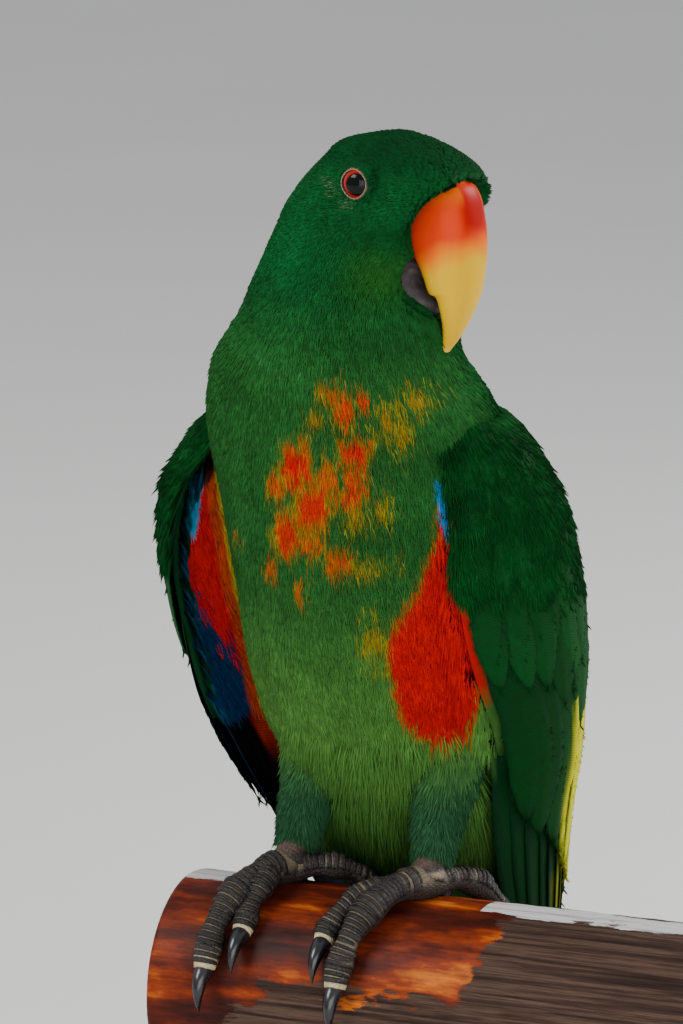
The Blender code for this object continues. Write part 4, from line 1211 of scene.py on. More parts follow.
def coatSizes(place, points, normals, depth):
    # each feather's length and rise: short on the face, long and full where the left flank meets the wing
    toBill = np.linalg.norm(points - headPoint(17, 0, 178), axis=1) / mm
    onHead = smoothStep(8.0, 11.5, place)
    face = smoothStep(26, 12, toBill)
    for eyeSide in (-1, 1):
        face = np.maximum(face, smoothStep(11, 6.5, np.linalg.norm(points - eyeCentre(eyeSide), axis=1) / mm))
    length = coatSettings["bodyLength"] + (coatSettings["headLength"] - coatSettings["bodyLength"]) * onHead
    length = length + (coatSettings["faceLength"] - length) * face * onHead
    crown = 0.75 * np.exp(-((place - 15.8) / 0.6) ** 2)
    rise = depth * (1 - 0.45 * face * onHead) * (1 + crown - 0.4 * smoothStep(16.4, 17, place))
    across, up = chart(points)
    beside = across - np.interp(up, flankGap[1], flankGap[0])
    full = smoothStep(-4.5, -1, beside) * smoothStep(34, 44, up) * smoothStep(102, 92, up)
    full = full * (normals @ viewBack > -0.2)
    length = (length + full * 3) * (1 - 0.55 * smoothStep(32.5, 35, across) * smoothStep(44, 38, up))
    return length, rise + full * 3.6 * mm


def makeCoat():
    chance = np.random.default_rng(coatSettings["seed"])
    place, angle, points, normals = coatPlaces(chance)
    homes = coatHome(place, angle)
    keep, border = clearOfFace(points)
    pick = np.concatenate((np.where(keep)[0], np.repeat(np.where(keep & border)[0], 3)))
    place, points, normals, homes = (values[pick] for values in (place, points, normals, homes))
    shift = chance.normal(0, 0.4 * mm, points.shape) * (np.arange(len(pick)) >= keep.sum())[:, None]
    points = points + shift - normals * (shift * normals).sum(1, keepdims=True)
    ways = featherFlow(points, normals)
    for eyeSide in (-1, 1):
        spots, spotNormals, spotWays = eyeTufts(chance, eyeSide)
        nearest = np.argmin(((points[None] - spots[:, None]) ** 2).sum(2), 1)
        points = np.concatenate((points, spots))
        normals = np.concatenate((normals, spotNormals))
        ways = np.concatenate((ways, spotWays))
        place, homes = (np.concatenate((values, values[nearest])) for values in (place, homes))
    length, rise = coatSizes(place, points, normals, coatDepth(place))
    headPart = place > 9.6
    for name, pick, barbs, width, spread in (
            ("bodyCoat", ~headPart, coatSettings["bodyBarbs"], coatSettings["barbWidth"], 1.8),
            ("headCoat", headPart, coatSettings["headBarbs"], coatSettings["headBarbWidth"], 1.0)):
        spread = spread * mm * length[pick] / length[pick].max()
        lengths = length[pick] * mm * chance.uniform(0.9, 1.1, pick.sum())
        coatPieces(name, chance, points[pick], normals[pick], ways[pick], lengths, width / 2 * mm, rise[pick],
                   barbs, coatSettings["fan"], spread, homes[pick], plumageTint)
    makeThighCoat(chance)
    makeVentCoat(chance)


# Wings as the solids have them: rows from shoulder to tip, each a height and its front, middle and back point
wingRows = {
    "left": (
        (127.5, 27, -9, 35.5, 12, 16, 39),
        (118, 31.5, -14, 44, 13, 11, 46),
        (104, 34.5, -17, 50.5, 17, 8.5, 55),
        (84, 35, -14, 52.5, 25, 7, 63),
        (60, 35.5, -4, 51, 35, 6.5, 71),
        (35, 35, 14, 45, 47, 7, 78),
        (10, 32, 24, 38.5, 57, 10, 84),
        (-15, 30, 40, 33, 68, 15, 88),
        (-38, 28, 60, 28.5, 77, 20.5, 90),
        (-52, 26.5, 74, 27, 80, 24.5, 85),
    ),
    "right": (
        (127.5, 32, -7, 37, 12, 16, 39),
        (118, 39, -7, 44.5, 13, 11, 46),
        (104, 50, -5, 51.5, 20, 8.5, 55),
        (84, 55, -1, 53.5, 28, 7, 63),
        (60, 54, 5, 52, 38, 6.5, 71),
        (38, 50, 12, 47, 48, 7, 77),
        (10, 40.7, 25, 40.7, 57, 10, 84),
        (-15, 33.5, 41, 34, 68, 15, 88),
        (-38, 28, 60, 28.5, 77, 20.5, 90),
        (-52, 26.5, 74, 27, 80, 24.5, 85),
    ),
}
# Tiers of the wing, the lowest first: name, count, root and tip places down the wing at its front and its back,
# first and last place across at the root and the tip, width, lift of the tips, fall across a vane
wingTiers = (
    ("primary", 9, (0.42, 0.46), (1.0, 0.86), (0.06, 0.62), (0.14, 0.8), 13.5, -0.2, 0.3),
    ("secondary", 12, (0.36, 0.34), (0.66, 0.84), (0.08, 0.96), (0.1, 0.95), 12.5, 0.8, 0.7),
    ("greaterCovert", 14, (0.24, 0.24), (0.48, 0.6), (0.05, 0.96), (0.06, 0.95), 9.2, 1.3, 0.6),
    ("greaterCovertUpper", 15, (0.2, 0.2), (0.41, 0.5), (0.05, 0.96), (0.06, 0.95), 8.4, 1.55, 0.6),
    ("medianCovert", 17, (0.16, 0.16), (0.34, 0.41), (0.05, 0.96), (0.05, 0.95), 7.6, 1.8, 0.6),
    ("lesserCovertLow", 18, (0.1, 0.1), (0.26, 0.31), (0.05, 0.96), (0.04, 0.95), 6.8, 2.05, 0.5),
    ("lesserCovertMiddle", 17, (0.05, 0.05), (0.17, 0.2), (0.06, 0.95), (0.05, 0.94), 6.6, 2.3, 0.5),
)
wingSettings = {
    "coverDepth": 2.6,
    "sink": 1.2,
    "primaryStep": 0.3,
    "fringeBarbs": 64,
    "vaneSections": 16,
    "vanePoints": 9,
    "thickness": 0.32,
    "shellThickness": (3.4, 2.4),
    "armEnd": 0.56,
}


def wingSurface(rows, side, across, down):
    table = readRows(rows, np.asarray(down) * (len(rows) - 1))
    height, leadX, leadY, midX, midY, backX, backY = np.moveaxis(table, -1, 0)
    flat = []
    for lead, middle, back in ((leadX, midX, backX), (leadY, midY, backY)):
        control = middle * 2 - (lead + back) / 2
        flat.append(lead * (1 - across) ** 2 + control * 2 * across * (1 - across) + back * across ** 2)
    return np.stack((side * flat[0] * mm, flat[1] * mm, railTop + height * mm), -1)


def wingNormal(rows, side, across, down):
    small = 0.02
    alongAcross = (wingSurface(rows, side, np.minimum(across + small, 1), down)
                   - wingSurface(rows, side, np.maximum(across - small, 0), down))
    alongDown = (wingSurface(rows, side, across, np.minimum(down + small, 1))
                 - wingSurface(rows, side, across, np.maximum(down - small, 0)))
    return unit(np.cross(alongAcross, alongDown)) * -side


def vaneOutline(part, tipRound=0.72):
    # half width along a vane as a share of its widest: narrow at the quill, rounded at the tip
    tip = np.clip((part - tipRound) / (1 - tipRound), 0, 1)
    return np.minimum(0.42 + 2.2 * part, 1) * np.maximum(1 - tip ** 1.7, 0.002) ** 0.75


def buildVane(middle, normals, halfWidths, fall, chance):
    # one feather's vane: outer and inner points over sections and across, with its lie for the barbs
    sections = len(middle)
    across = np.linspace(-1, 1, wingSettings["vanePoints"])
    ahead = unit(np.gradient(middle, axis=0))
    side = unit(np.cross(ahead, normals))
    lift = np.cross(side, ahead)
    lift *= np.sign((lift * normals).sum(1, keepdims=True))
    length = runningLength(middle) / mm
    notch = chance.normal(0, 0.025, (sections, 2))
    wide = across[None] * (1 + np.where(across[None] < 0, notch[:, :1], notch[:, 1:])) * halfWidths[:, None]
    camber = 0.5 * mm * (1 - across ** 2) + 0.22 * mm * np.exp(-(across / 0.16) ** 2)
    camber = camber[None] * np.minimum(halfWidths / halfWidths.max() + 0.1, 1)[:, None]
    spots = (middle[:, None] + side[:, None] * wide[..., None]
             + lift[:, None] * (camber - across[None] * fall * mm / 2)[..., None])
    spots = spots - ahead[:, None] * (np.abs(across)[None] ** 2 * halfWidths[:, None] * 0.35)[..., None]
    thick = wingSettings["thickness"] * mm * (1 - 0.6 * np.abs(across))[None, :, None]
    lie = np.stack((wide / mm, length[:, None] + 0 * wide, 0 * wide), -1)
    return spots, spots - lift[:, None] * thick, lie


def sheetFaces(rows, columns):
    # quads of a closed sheet: its outer grid, its inner grid and the walls between them
    quads = gridFaces(rows, columns)
    shift = rows * columns
    rims = []
    top = np.arange(columns)
    left = np.arange(rows) * columns
    bottom, right = top + (rows - 1) * columns, left + columns - 1
    for rim, flip in ((top, False), (bottom, True), (left, True), (right, False)):
        wall = np.stack((rim[:-1], rim[1:], rim[1:] + shift, rim[:-1] + shift), 1)
        rims.append(wall if flip else wall[:, ::-1])
    return np.concatenate([quads[:, ::-1], quads + shift] + rims)


def gatherVanes(name, vanes, finish, cellColumns):
    # joins many vanes of the same grid into one mesh, each with its own cell of the bake map
    rows, columns = vanes[0][0].shape[:2]
    faces = sheetFaces(rows, columns)
    size = rows * columns * 2
    allPoints, allTints, allLies, allBakes = [], [], [], []
    cellRows = math.ceil(len(vanes) / cellColumns)
    grid = np.stack(np.meshgrid(np.linspace(0.04, 0.46, columns), np.linspace(0.04, 0.96, rows)), -1)
    for index, (outer, inner, lie, outerTint, innerTint) in enumerate(vanes):
        allPoints.append(np.concatenate((outer.reshape(-1, 3), inner.reshape(-1, 3))))
        allTints.append(np.concatenate((outerTint.reshape(-1, 3), innerTint.reshape(-1, 3))))
        allLies.append(np.tile(lie.reshape(-1, 3), (2, 1)))
        corner = np.array((index % cellColumns, index // cellColumns))
        for shift in (0, 0.5):
            cell = (grid + np.array((shift, 0)) + corner) / np.array((cellColumns, cellRows))
            allBakes.append(cell.reshape(-1, 2))
    allFaces = (np.arange(len(vanes))[:, None, None] * size + faces[None]).reshape(-1, 4)
    piece = newMesh(name, np.concatenate(allPoints), allFaces, finish, np.concatenate(allTints),
                    np.concatenate(allBakes), np.concatenate(allLies))
    turnOut(piece.data)
    return piece


# The left wing's back edge in the chart, along which the outer webs carry a painted yellow rim of backlight:
# across, up
backEdge = ((53, 54.8, 56.1, 58.4, 59.5, 60.3), (1.8, 7.3, 21.6, 33.2, 46.8, 60.3))
# The outline of the blue patch in the right wing's lining in the chart
bluePatch = ((-45, 118), (-39.6, 118), (-40.5, 106.2), (-42.4, 92), (-46, 92))
# The body's edge beside that lining in the chart: across, up
liningEdge = ((-21.6, -25.2, -28.3, -31.4, -34, -37.1, -39), (37.7, 49.1, 66.2, 77.7, 93.2, 112.7, 125))


def flankTint(tint, places, wide):
    # feathers of the wing that meet the flank take the flank's colours
    right, up = chart(places)
    colour = mix(plumageColours["belly"] * 0.6, plumageColours["red"] * 0.8, smoothStep(46, 52, up))
    beside = np.abs(right - np.interp(up, flankGap[1], flankGap[0]))
    part = smoothStep(wide, wide * 0.4, beside) * smoothStep(30, 36, up) * smoothStep(104, 96, up)
    return mix(tint, colour, part)


def backRidge(rows, side):
    # the line along the wing's back where it turns away: height and depth in the chart
    steps = 80
    down, across = np.meshgrid(np.linspace(0, 1, steps), np.linspace(0, 1, steps), indexing="ij")
    surface = wingSurface(rows, side, across, down)
    line = surface[np.arange(steps), chart(surface)[0].argmax(1)]
    up = chart(line)[1]
    order = np.argsort(up)
    return up[order], (line @ viewBack / mm)[order]


def vaneGrid(outer):
    # part of the length and place across at each of a vane's points
    sections, columns = outer.shape[:2]
    return np.meshgrid(np.linspace(0, 1, sections), np.linspace(-1, 1, columns), indexing="ij")


def wingVaneTint(tier, share, outer, chance, side):
    # green above with darker edges and blue on the outer vanes, black beneath
    part, across = vaneGrid(outer)
    green = mix(plumageColours["wingDark"], plumageColours["wingLight"],
                np.clip(0.5 + chance.normal(0, 0.28), 0, 1))
    tint = green * (0.65 + 0.4 * part[..., None])
    edge = smoothStep(0.55, 1.0, np.abs(across)) * 0.28 + smoothStep(0.88, 1.0, part) * 0.25
    tint = mix(tint, np.array((0.0006, 0.024, 0.008)), np.clip(edge, 0, 1))
    if tier == "primary":
        tint = mix(tint, paint(10, 44, 92), (1 - share) * 0.75 * smoothStep(-0.1, -0.7, across))
        tint = mix(tint, paint(8, 26, 34), smoothStep(0.1, 0.8, across) * 0.3)
    # painted light: a yellow rim of backlight on the left wing's outer webs, only beside the back edge on the
    # side nearer the camera
    if side > 0 and tier in ("primary", "secondary"):
        right, up = chart(outer)
        behind = right - np.interp(up, backEdge[1], backEdge[0])
        beyond = outer @ viewBack / mm - np.interp(up, *backRidge(wingRows["left"], 1))
        backlitRim = (0.3 + 0.7 * smoothStep(0.45, -0.15, across)) * smoothStep(-3.0, -1.2, behind)
        tint = mix(tint, plumageColours["backlitRimYellow"], backlitRim * smoothStep(-3.5, -0.5, beyond))
    under = mix(paint(16, 17, 20), paint(14, 40, 62), smoothStep(0.3, 1.0, np.abs(across)) * 0.5)
    if side < 0:
        right, up = chart(outer)
        away = np.interp(up, liningEdge[1], liningEdge[0]) - right
        under = mix(under, np.array((0.9, 0.05, 0.002)), smoothStep(4, 2, away) * smoothStep(33, 37, up))
    if side > 0:
        # painted light: the left primaries' black undersides are made dark green, lightening the dark lines
        # seen between them
        if tier == "primary":
            under = mix(under, green * 0.7, 0.7)
        under = flankTint(under, outer, 6)
        if share < 0.15:
            tint = flankTint(tint, outer, 2.4)
    return tint, under


def wingVanes(label, rows, side, chance):
    # every feather of the wing's tiers, with the loose fringes of all but the primaries
    vanes, fringes = [], []
    between = lambda ends, share: ends[0] + (ends[1] - ends[0]) * share
    part = np.linspace(0, 1, wingSettings["vaneSections"]) ** 0.85
    for tier, count, roots, tips, rootSpan, tipSpan, width, lift, fall in wingTiers:
        stray = 0.007 if tier in ("primary", "secondary") else 0.014
        for index in range(count):
            share = index / (count - 1)
            rootAcross = between(rootSpan, share) + chance.normal(0, 0.006)
            tipAcross = between(tipSpan, share) + chance.normal(0, 0.008)
            rootDown = between(roots, share)
            tipDown = between(tips, share) + chance.normal(0, stray)
            across = np.clip(between((rootAcross, tipAcross), part), 0.01, 0.99)
            down = between((rootDown, tipDown), part)
            normals = wingNormal(rows, side, across, np.clip(down, 0.03, 0.96))
            base = -wingSettings["sink"] - wingSettings["coverDepth"]
            if tier == "primary":
                base -= (count - 1 - index) * wingSettings["primaryStep"]
            else:
                base += 0.12 * (index % 3)
            height = (base + (lift + wingSettings["sink"]) * np.minimum(part * 1.8, 1)) * mm
            middle = wingSurface(rows, side, across, np.minimum(down, 1)) + normals * height[:, None]
            halfWidths = width / 2 * mm * vaneOutline(part) * chance.uniform(0.94, 1.06)
            outer, inner, lie = buildVane(middle, normals, halfWidths, fall * side, chance)
            tint, under = wingVaneTint(tier, share, outer, chance, side)
            vanes.append((outer, inner, lie, tint, under))
            if tier != "primary":
                fringes.append(vaneFringe(outer, normals[-1], tint, share, chance))
    roots, faceNormals, ways, tints, homes = (np.concatenate(values) for values in zip(*fringes))
    count = len(roots)
    dark = tints * chance.uniform(0.75, 1.2, (count, 1))
    lengths = chance.uniform(2.2, 3.6, count) * mm
    fringe = barbMesh(label + "WingFringe", roots, faceNormals, ways, lengths, np.full(count, 0.11 * mm),
                      np.full(count, 0.14 * mm), (dark, dark * 1.1), homes)
    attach(fringe, "root")
    return vanes


def vaneFringe(outer, normal, tint, share, chance):
    # loose barbs round a vane's tip, which soften its edge
    sections, columns = outer.shape[:2]
    first, middle = sections // 2, columns // 2
    rim = np.concatenate((outer[first:, 0], outer[-1, 1:-1], outer[first:, -1][::-1]))
    rimTint = np.concatenate((tint[first:, 0], tint[-1, 1:-1], tint[first:, -1][::-1]))
    shaft = np.concatenate((outer[first:, middle], np.repeat(outer[-1:, middle], columns - 2, 0),
                            outer[first:, middle][::-1]))
    place = chance.uniform(0, len(rim) - 1.01, wingSettings["fringeBarbs"])
    index, part = place.astype(int), (place % 1)[:, None]
    at = lambda values: values[index] * (1 - part) + values[index + 1] * part
    ahead = unit(outer[-1, middle] - outer[-4, middle])
    ways = unit(ahead + unit(at(rim) - at(shaft) + 1e-9) * 0.5 + chance.normal(0, 0.08, (len(place), 3)))
    roots = at(rim) - ways * (chance.uniform(0.8, 1.8, (len(place), 1)) * mm)
    homes = np.stack((0.05 + 0.9 * share + 0 * place, 0.05 + 0.9 * place / len(rim)), 1)
    return roots, np.repeat(normal[None], len(place), 0), ways, at(rimTint), homes


def wingShell(name, rows, side):
    # the arm of the wing under its feathers
    down = np.linspace(0, wingSettings["armEnd"], 30)
    across = np.linspace(0, 1, 24)
    downGrid, acrossGrid = np.meshgrid(down, across, indexing="ij")
    normals = wingNormal(rows, side, acrossGrid, downGrid)
    outer = wingSurface(rows, side, acrossGrid, downGrid) - normals * (wingSettings["coverDepth"] + 0.3) * mm
    front, back = wingSettings["shellThickness"]
    thick = (front + (back - front) * np.maximum(acrossGrid, downGrid / wingSettings["armEnd"])) - 0.6
    inner = outer - normals * (thick * mm)[..., None]
    points = np.concatenate((outer.reshape(-1, 3), inner.reshape(-1, 3)))
    tint = np.zeros((len(points), 3)) + np.array((0.001, 0.025, 0.006))
    if side > 0:
        tint = flankTint(tint, points, 5)
    shell = newMesh(name, points, sheetFaces(len(down), len(across)), finishes["plumage"], tint)
    turnOut(shell.data)
    return shell, inner, normals


def makeWings():
    for label, side in (("left", 1), ("right", -1)):
        rows = wingRows[label]
        chance = np.random.default_rng(21 + side)
        vanes = wingVanes(label, rows, side, chance)
        wing = gatherVanes(label + "WingVanes", vanes, finishes["vane"], 12)
        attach(wing, "root")
        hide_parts("wing_" + label)
        shell, inner, normals = wingShell(label + "WingArm", rows, side)
        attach(shell, "root")
        makeLining(label, side, rows, inner, normals, chance)
        makeShoulder(label, side, rows, chance)
    print("wings made")


def makeShoulder(label, side, rows, chance):
    # soft feathers that carry the body's coat over the top of the wing
    count = fluffSettings["shoulder"][0]
    reach = fluffSettings["shoulderReach"]
    down = reach * chance.uniform(0, 1, count) ** 1.1
    across = chance.uniform(0.0, 1.0, count)
    normals = wingNormal(rows, side, np.clip(across, 0.03, 0.97), np.maximum(down, 0.02))
    points = wingSurface(rows, side, across, down) - normals * 2.3 * mm
    flow = wingSurface(rows, side, across, down + 0.05) - wingSurface(rows, side, across, down)
    ways = unit(alongSurface(flow, normals))
    ways = unit(unit(ways + chance.normal(0, 0.06, (count, 3))) - normals * 0.08)
    homes = np.stack((0.03 + 0.94 * across, 0.03 + 0.9 * down / reach), 1)

    def tintOf(places, faceNormals, jitter):
        part = np.clip(0.5 + 0.5 * waves(places, 12 * mm, 51) + jitter[:, 0] * 0.2, 0, 1)
        return mix(plumageColours["shoulderDark"], plumageColours["wingLight"], part)

    lengths = chance.uniform(7.5, 10.5, count) * mm
    fluffPieces(label + "Shoulder", "shoulder", chance, points, normals, ways, lengths, homes, tintOf)


def makeLining(label, side, rows, inner, normals, chance):
    # small feathers on the hollow side of the wing, blue at its rim, red inside, yellow beside the body
    count, barbs = fluffSettings["lining"][:2]
    down = chance.uniform(0.0, 1.0, count)
    across = chance.uniform(0.0, 0.95, count)
    row = (down * (inner.shape[0] - 1)).astype(int)
    column = (across * (inner.shape[1] - 1)).astype(int)
    outward = -normals[row, column]
    points = inner[row, column] + chance.normal(0, 0.9 * mm, (count, 3)) * (1 - np.abs(outward))
    below = down * wingSettings["armEnd"]
    flow = wingSurface(rows, side, across, below + 0.05) - wingSurface(rows, side, across, below)
    ways = unit(alongSurface(flow, outward))

    def tintOf(places, faceNormals, jitter):
        if side > 0:
            return plumageColours["red"] * 0.8 + np.zeros(places.shape)
        owner = np.repeat(np.arange(count), barbs)
        edge = across[owner] + jitter[:, 0] * 0.03
        low = down[owner] + jitter[:, 1] * 0.03
        inside = smoothStep(0.01, 0.04, edge)
        tint = mix(np.array((0.004, 0.08, 0.014)), plumageColours["blue"], inside)
        tint = mix(tint, paint(8, 70, 120), smoothStep(0.5, 0.8, low) * inside)
        border = 0.2 * smoothStep(0.45, 0.25, low) + 0.05 + 0.35 * smoothStep(0.55, 0.9, low)
        # painted light: the lining's red is a brighter copy of the plumage red, standing in for light in the
        # wing's shaded hollow
        lining = mix(np.array((0.95, 0.006, 0.001)), tint, smoothStep(0.05, 0, edge - border))
        right, up = chart(places)
        # painted light: the blue patch is a brighter copy of the plumage blue, standing in for light in the
        # shaded lining
        inBlue = insidePolygon(bluePatch, right, up)
        lining = mix(lining, np.array((0.03, 0.55, 1.0)), smoothStep(-0.4, 0.3, inBlue))
        away = np.interp(up, liningEdge[1], liningEdge[0]) - right
        lining = mix(lining, np.array((0.95, 0.1, 0.002)), smoothStep(4.4, 3.0, away))
        return mix(lining, np.array((0.9, 0.6, 0.006)), smoothStep(1.3, 0.7, away))

    homes = np.stack((0.05 + 0.9 * across, 0.05 + 0.9 * down), 1)
    lengths = chance.uniform(7, 10, count) * mm
    fluffPieces(label + "WingLining", "lining", chance, points, outward, ways, lengths, homes, tintOf)


# Tail tiers: name, count, length, root place, half spread at root and tip, height at root and tip, fall of the
# outermost tips and of their length, width
tailTiers = (
    ("rectrix", 12, 114, 0.04, 6, 24, 0.0, 0.4, 4.0, 10, 12.5),
    ("upperCovert", 9, 50, -0.02, 7, 14, 2.8, 3.4, 1.0, 8, 9.5),
    ("upperCovertShort", 9, 34, -0.04, 8, 14, 3.6, 4.6, 1.0, 6, 8.5),
    ("underCovert", 9, 62, -0.02, 6, 14, -3.4, -4.4, -1.0, 9, 9.5),
    ("underCovertShort", 9, 42, -0.05, 7, 14, -4.2, -5.6, -1.0, 7, 9.0),
)
tailSettings = {"root": (0, 60, 12), "length": 114, "drop": 68}


def makeTail():
    chance = np.random.default_rng(31)
    root = legPoint(1, tailSettings["root"])
    drop = math.radians(tailSettings["drop"])
    ahead = np.array((0, math.cos(drop), -math.sin(drop)))
    lift = np.array((0, math.sin(drop), math.cos(drop)))
    part = np.linspace(0, 1, wingSettings["vaneSections"]) ** 0.9
    vanes = []
    for tier, count, length, start, nearRoot, nearTip, low, high, fall, shorter, width in tailTiers:
        for index in range(count):
            place = index / (count - 1) * 2 - 1
            reach = length - shorter * place * place
            spread = (nearRoot + (nearTip - nearRoot) * part ** 1.2) * place
            droop = fall * abs(place) * np.minimum(part * 1.6, 1)
            height = low + (high - low) * part - droop + 0.35 * (place > 0)
            middle = (root + ahead * ((tailSettings["length"] * start + reach * part) * mm)[:, None]
                      + np.array((1, 0, 0)) * (spread * mm)[:, None] + lift * (height * mm)[:, None])
            halfWidths = width / 2 * mm * vaneOutline(part, 0.84)
            tilt = 0.8 * (1 if place > 0 else -1) * (-1 if fall < 0 else 1)
            outer, inner, lie = buildVane(middle, np.tile(lift, (len(part), 1)), halfWidths, tilt, chance)
            tint, under = tailVaneTint(tier, outer, chance)
            vanes.append((outer, inner, lie, tint, under))
    tail = gatherVanes("tailVanes", vanes, finishes["vane"], 8)
    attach(tail, "root")
    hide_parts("tail")
    print("tail made")


def tailVaneTint(tier, outer, chance):
    # green with blue edges and yellow tips above, black below, and green under the coverts
    part, across = vaneGrid(outer)
    green = mix(np.array((0.0015, 0.06, 0.02)), np.array((0.006, 0.09, 0.022)),
                np.clip(0.5 + chance.normal(0, 0.2), 0, 1))
    tint = mix(green, paint(8, 52, 96), smoothStep(0.35, 1.0, np.abs(across)) * 0.5 * (tier == "rectrix"))
    tint = mix(tint, paint(220, 196, 60), smoothStep(0.955, 0.985, part) * (tier == "rectrix"))
    if tier.startswith("under"):
        return tint, mix(paint(20, 84, 36), paint(60, 110, 40), part)
    under = mix(paint(14, 15, 18), paint(200, 180, 60), smoothStep(0.955, 0.985, part))
    return tint, under


# Feet
def onRail(x, angle, off):
    # points round the rail, off its surface
    reach = railRadius + off * mm
    return np.stack((x * mm, reach * np.sin(angle), railCentre + reach * np.cos(angle)), -1)


def toeLine(side, toe, count):
    # a toe's middle line from the foot round the rail, with its radius and the part of its length
    endX, endAngle, rootRadius, endRadius = toe[1:]
    part = np.linspace(0, 1, count)
    radius = rootRadius + (endRadius - rootRadius) * part
    footX = side * legSettings["foot"][0]
    x = footX + (endX - footX) * np.sin(part * math.pi / 2)
    arch = legSettings["toeArch"] * np.sin(math.pi * np.minimum(part * 1.2, 1))
    path = onRail(x, np.radians(endAngle) * part, radius - legSettings["toeSink"] + arch)
    return path, radius * mm, part


def scuteTemplate():
    # one scute: a thin arched plate over the upper side of a toe of radius 1
    rows, columns = 4, 13
    angle = np.linspace(math.radians(-8), math.radians(188), columns)[None]
    along = np.linspace(-0.5, 0.5, rows)[:, None]
    dome = 0.1 * (1 - (2 * along) ** 2) + 0.04
    outer = 1 + dome * (0.3 + 0.7 * np.sin(np.clip(angle, 0, math.pi)))
    inner = 0.9 + 0 * outer
    shapes = [np.stack((reach * np.cos(angle), reach * np.sin(angle), along + 0 * reach), -1).reshape(-1, 3)
              for reach in (outer, inner)]
    plate = newMesh("scutePlate", np.concatenate(shapes), sheetFaces(rows, columns), finishes["foot"])
    turnOut(plate.data)
    return plate


def scuteTree(plate):
    # plates set on points, turned by each point's own axes and scaled by its own size
    tree = bpy.data.node_groups.new("layScutes", "GeometryNodeTree")
    tree.interface.new_socket("Geometry", in_out="INPUT", socket_type="NodeSocketGeometry")
    tree.interface.new_socket("Plate length", in_out="INPUT", socket_type="NodeSocketFloat")
    tree.interface.new_socket("Geometry", in_out="OUTPUT", socket_type="NodeSocketGeometry")
    nodes, links = tree.nodes, tree.links
    source = nodes.new("NodeGroupInput")
    target = nodes.new("NodeGroupOutput")

    def field(name, kind):
        made = nodes.new("GeometryNodeInputNamedAttribute")
        made.data_type = kind
        made.inputs["Name"].default_value = name
        return made.outputs["Attribute"]

    info = nodes.new("GeometryNodeObjectInfo")
    info.inputs["Object"].default_value = plate
    turn = nodes.new("FunctionNodeAxesToRotation")
    turn.primary_axis = "Z"
    turn.secondary_axis = "Y"
    size = nodes.new("ShaderNodeCombineXYZ")
    radius = field("girth", "FLOAT")
    reach = nodes.new("ShaderNodeMath")
    reach.operation = "MULTIPLY"
    scatter = nodes.new("GeometryNodeInstanceOnPoints")
    real = nodes.new("GeometryNodeRealizeInstances")
    finish = nodes.new("GeometryNodeSetMaterial")
    finish.inputs["Material"].default_value = finishes["foot"]
    for start, end in ((field("ahead", "FLOAT_VECTOR"), turn.inputs["Primary Axis"]),
                       (field("outward", "FLOAT_VECTOR"), turn.inputs["Secondary Axis"]),
                       (radius, size.inputs["X"]),
                       (radius, size.inputs["Y"]),
                       (source.outputs["Plate length"], reach.inputs[0]),
                       (field("stretch", "FLOAT"), reach.inputs[1]),
                       (reach.outputs["Value"], size.inputs["Z"]),
                       (source.outputs["Geometry"], scatter.inputs["Points"]),
                       (info.outputs["Geometry"], scatter.inputs["Instance"]),
                       (turn.outputs["Rotation"], scatter.inputs["Rotation"]),
                       (size.outputs["Vector"], scatter.inputs["Scale"]),
                       (scatter.outputs["Instances"], real.inputs["Geometry"]),
                       (real.outputs["Geometry"], finish.inputs["Geometry"]),
                       (finish.outputs["Geometry"], target.inputs["Geometry"])):
        links.new(start, end)
    return tree


def layScutes(name, points, ahead, outward, girth, stretch, tree):
    mesh = bpy.data.meshes.new(name)
    mesh.from_pydata([tuple(p) for p in points], [], [])
    for key, values in (("ahead", ahead), ("outward", outward), ("girth", girth), ("stretch", stretch)):
        setLayer(mesh, key, values)
    holder = addObject(name, mesh)
    change = holder.modifiers.new("scutes", "NODES")
    change.node_group = tree
    for item in tree.interface.items_tree:
        if item.name == "Plate length":
            change[item.identifier] = legSettings["scuteStep"] * mm * 0.9
    applyChanges(holder)
    holder.data.shade_smooth()
    count = len(holder.data.vertices)
    owner = np.arange(count) // (count // len(points))
    shadeOf = np.random.default_rng(61).uniform(0.5, 1.5, len(points) + 1)[owner]
    setTint(holder.data, np.array((0.013, 0.0098, 0.009)) * shadeOf[:, None])
    return holder


def makeToe(side, label, toe, chance):
    # a toe's skin and claw, and its scutes' places, ways ahead and out, girths and stretches
    path, radius, part = toeLine(side, toe, 60)
    joints = 1 + 0.15 * np.sin(part * math.tau * 2.5 + 0.6)
    outward = unit(path - np.stack((path[:, 0], 0 * path[:, 0], 0 * path[:, 0] + railCentre), -1))
    ahead = unit(np.gradient(path, axis=0))
    across = unit(np.cross(ahead, outward))
    angle = np.linspace(0, math.tau, 28, endpoint=False)[None, :, None]
    girth = radius * joints * 0.88
    around = across[:, None] * np.cos(angle) + outward[:, None] * np.sin(angle)
    rings = path[:, None] + around * girth[:, None, None]
    skin = loftMesh("toe", rings, finishes["foot"], toeTint(rings, part))
    length = runningLength(path)
    stretch = chance.uniform(0.72, 1.3, 60)
    stops = 4 * mm + (np.cumsum(stretch) - stretch / 2) * legSettings["scuteStep"] * mm
    fits = stops < length[-1] - 1.6 * mm
    index = np.arange(len(path))
    pick = np.interp(stops[fits], length, index)
    at = lambda values: np.stack([np.interp(pick, index, values[:, k]) for k in range(3)], 1)
    girths = np.interp(pick, index, girth) * chance.uniform(0.94, 1.1, len(pick))
    makeClaw(label, toe, path, outward)
    return skin, (at(path), unit(at(ahead)), unit(at(outward)), girths, stretch[fits])


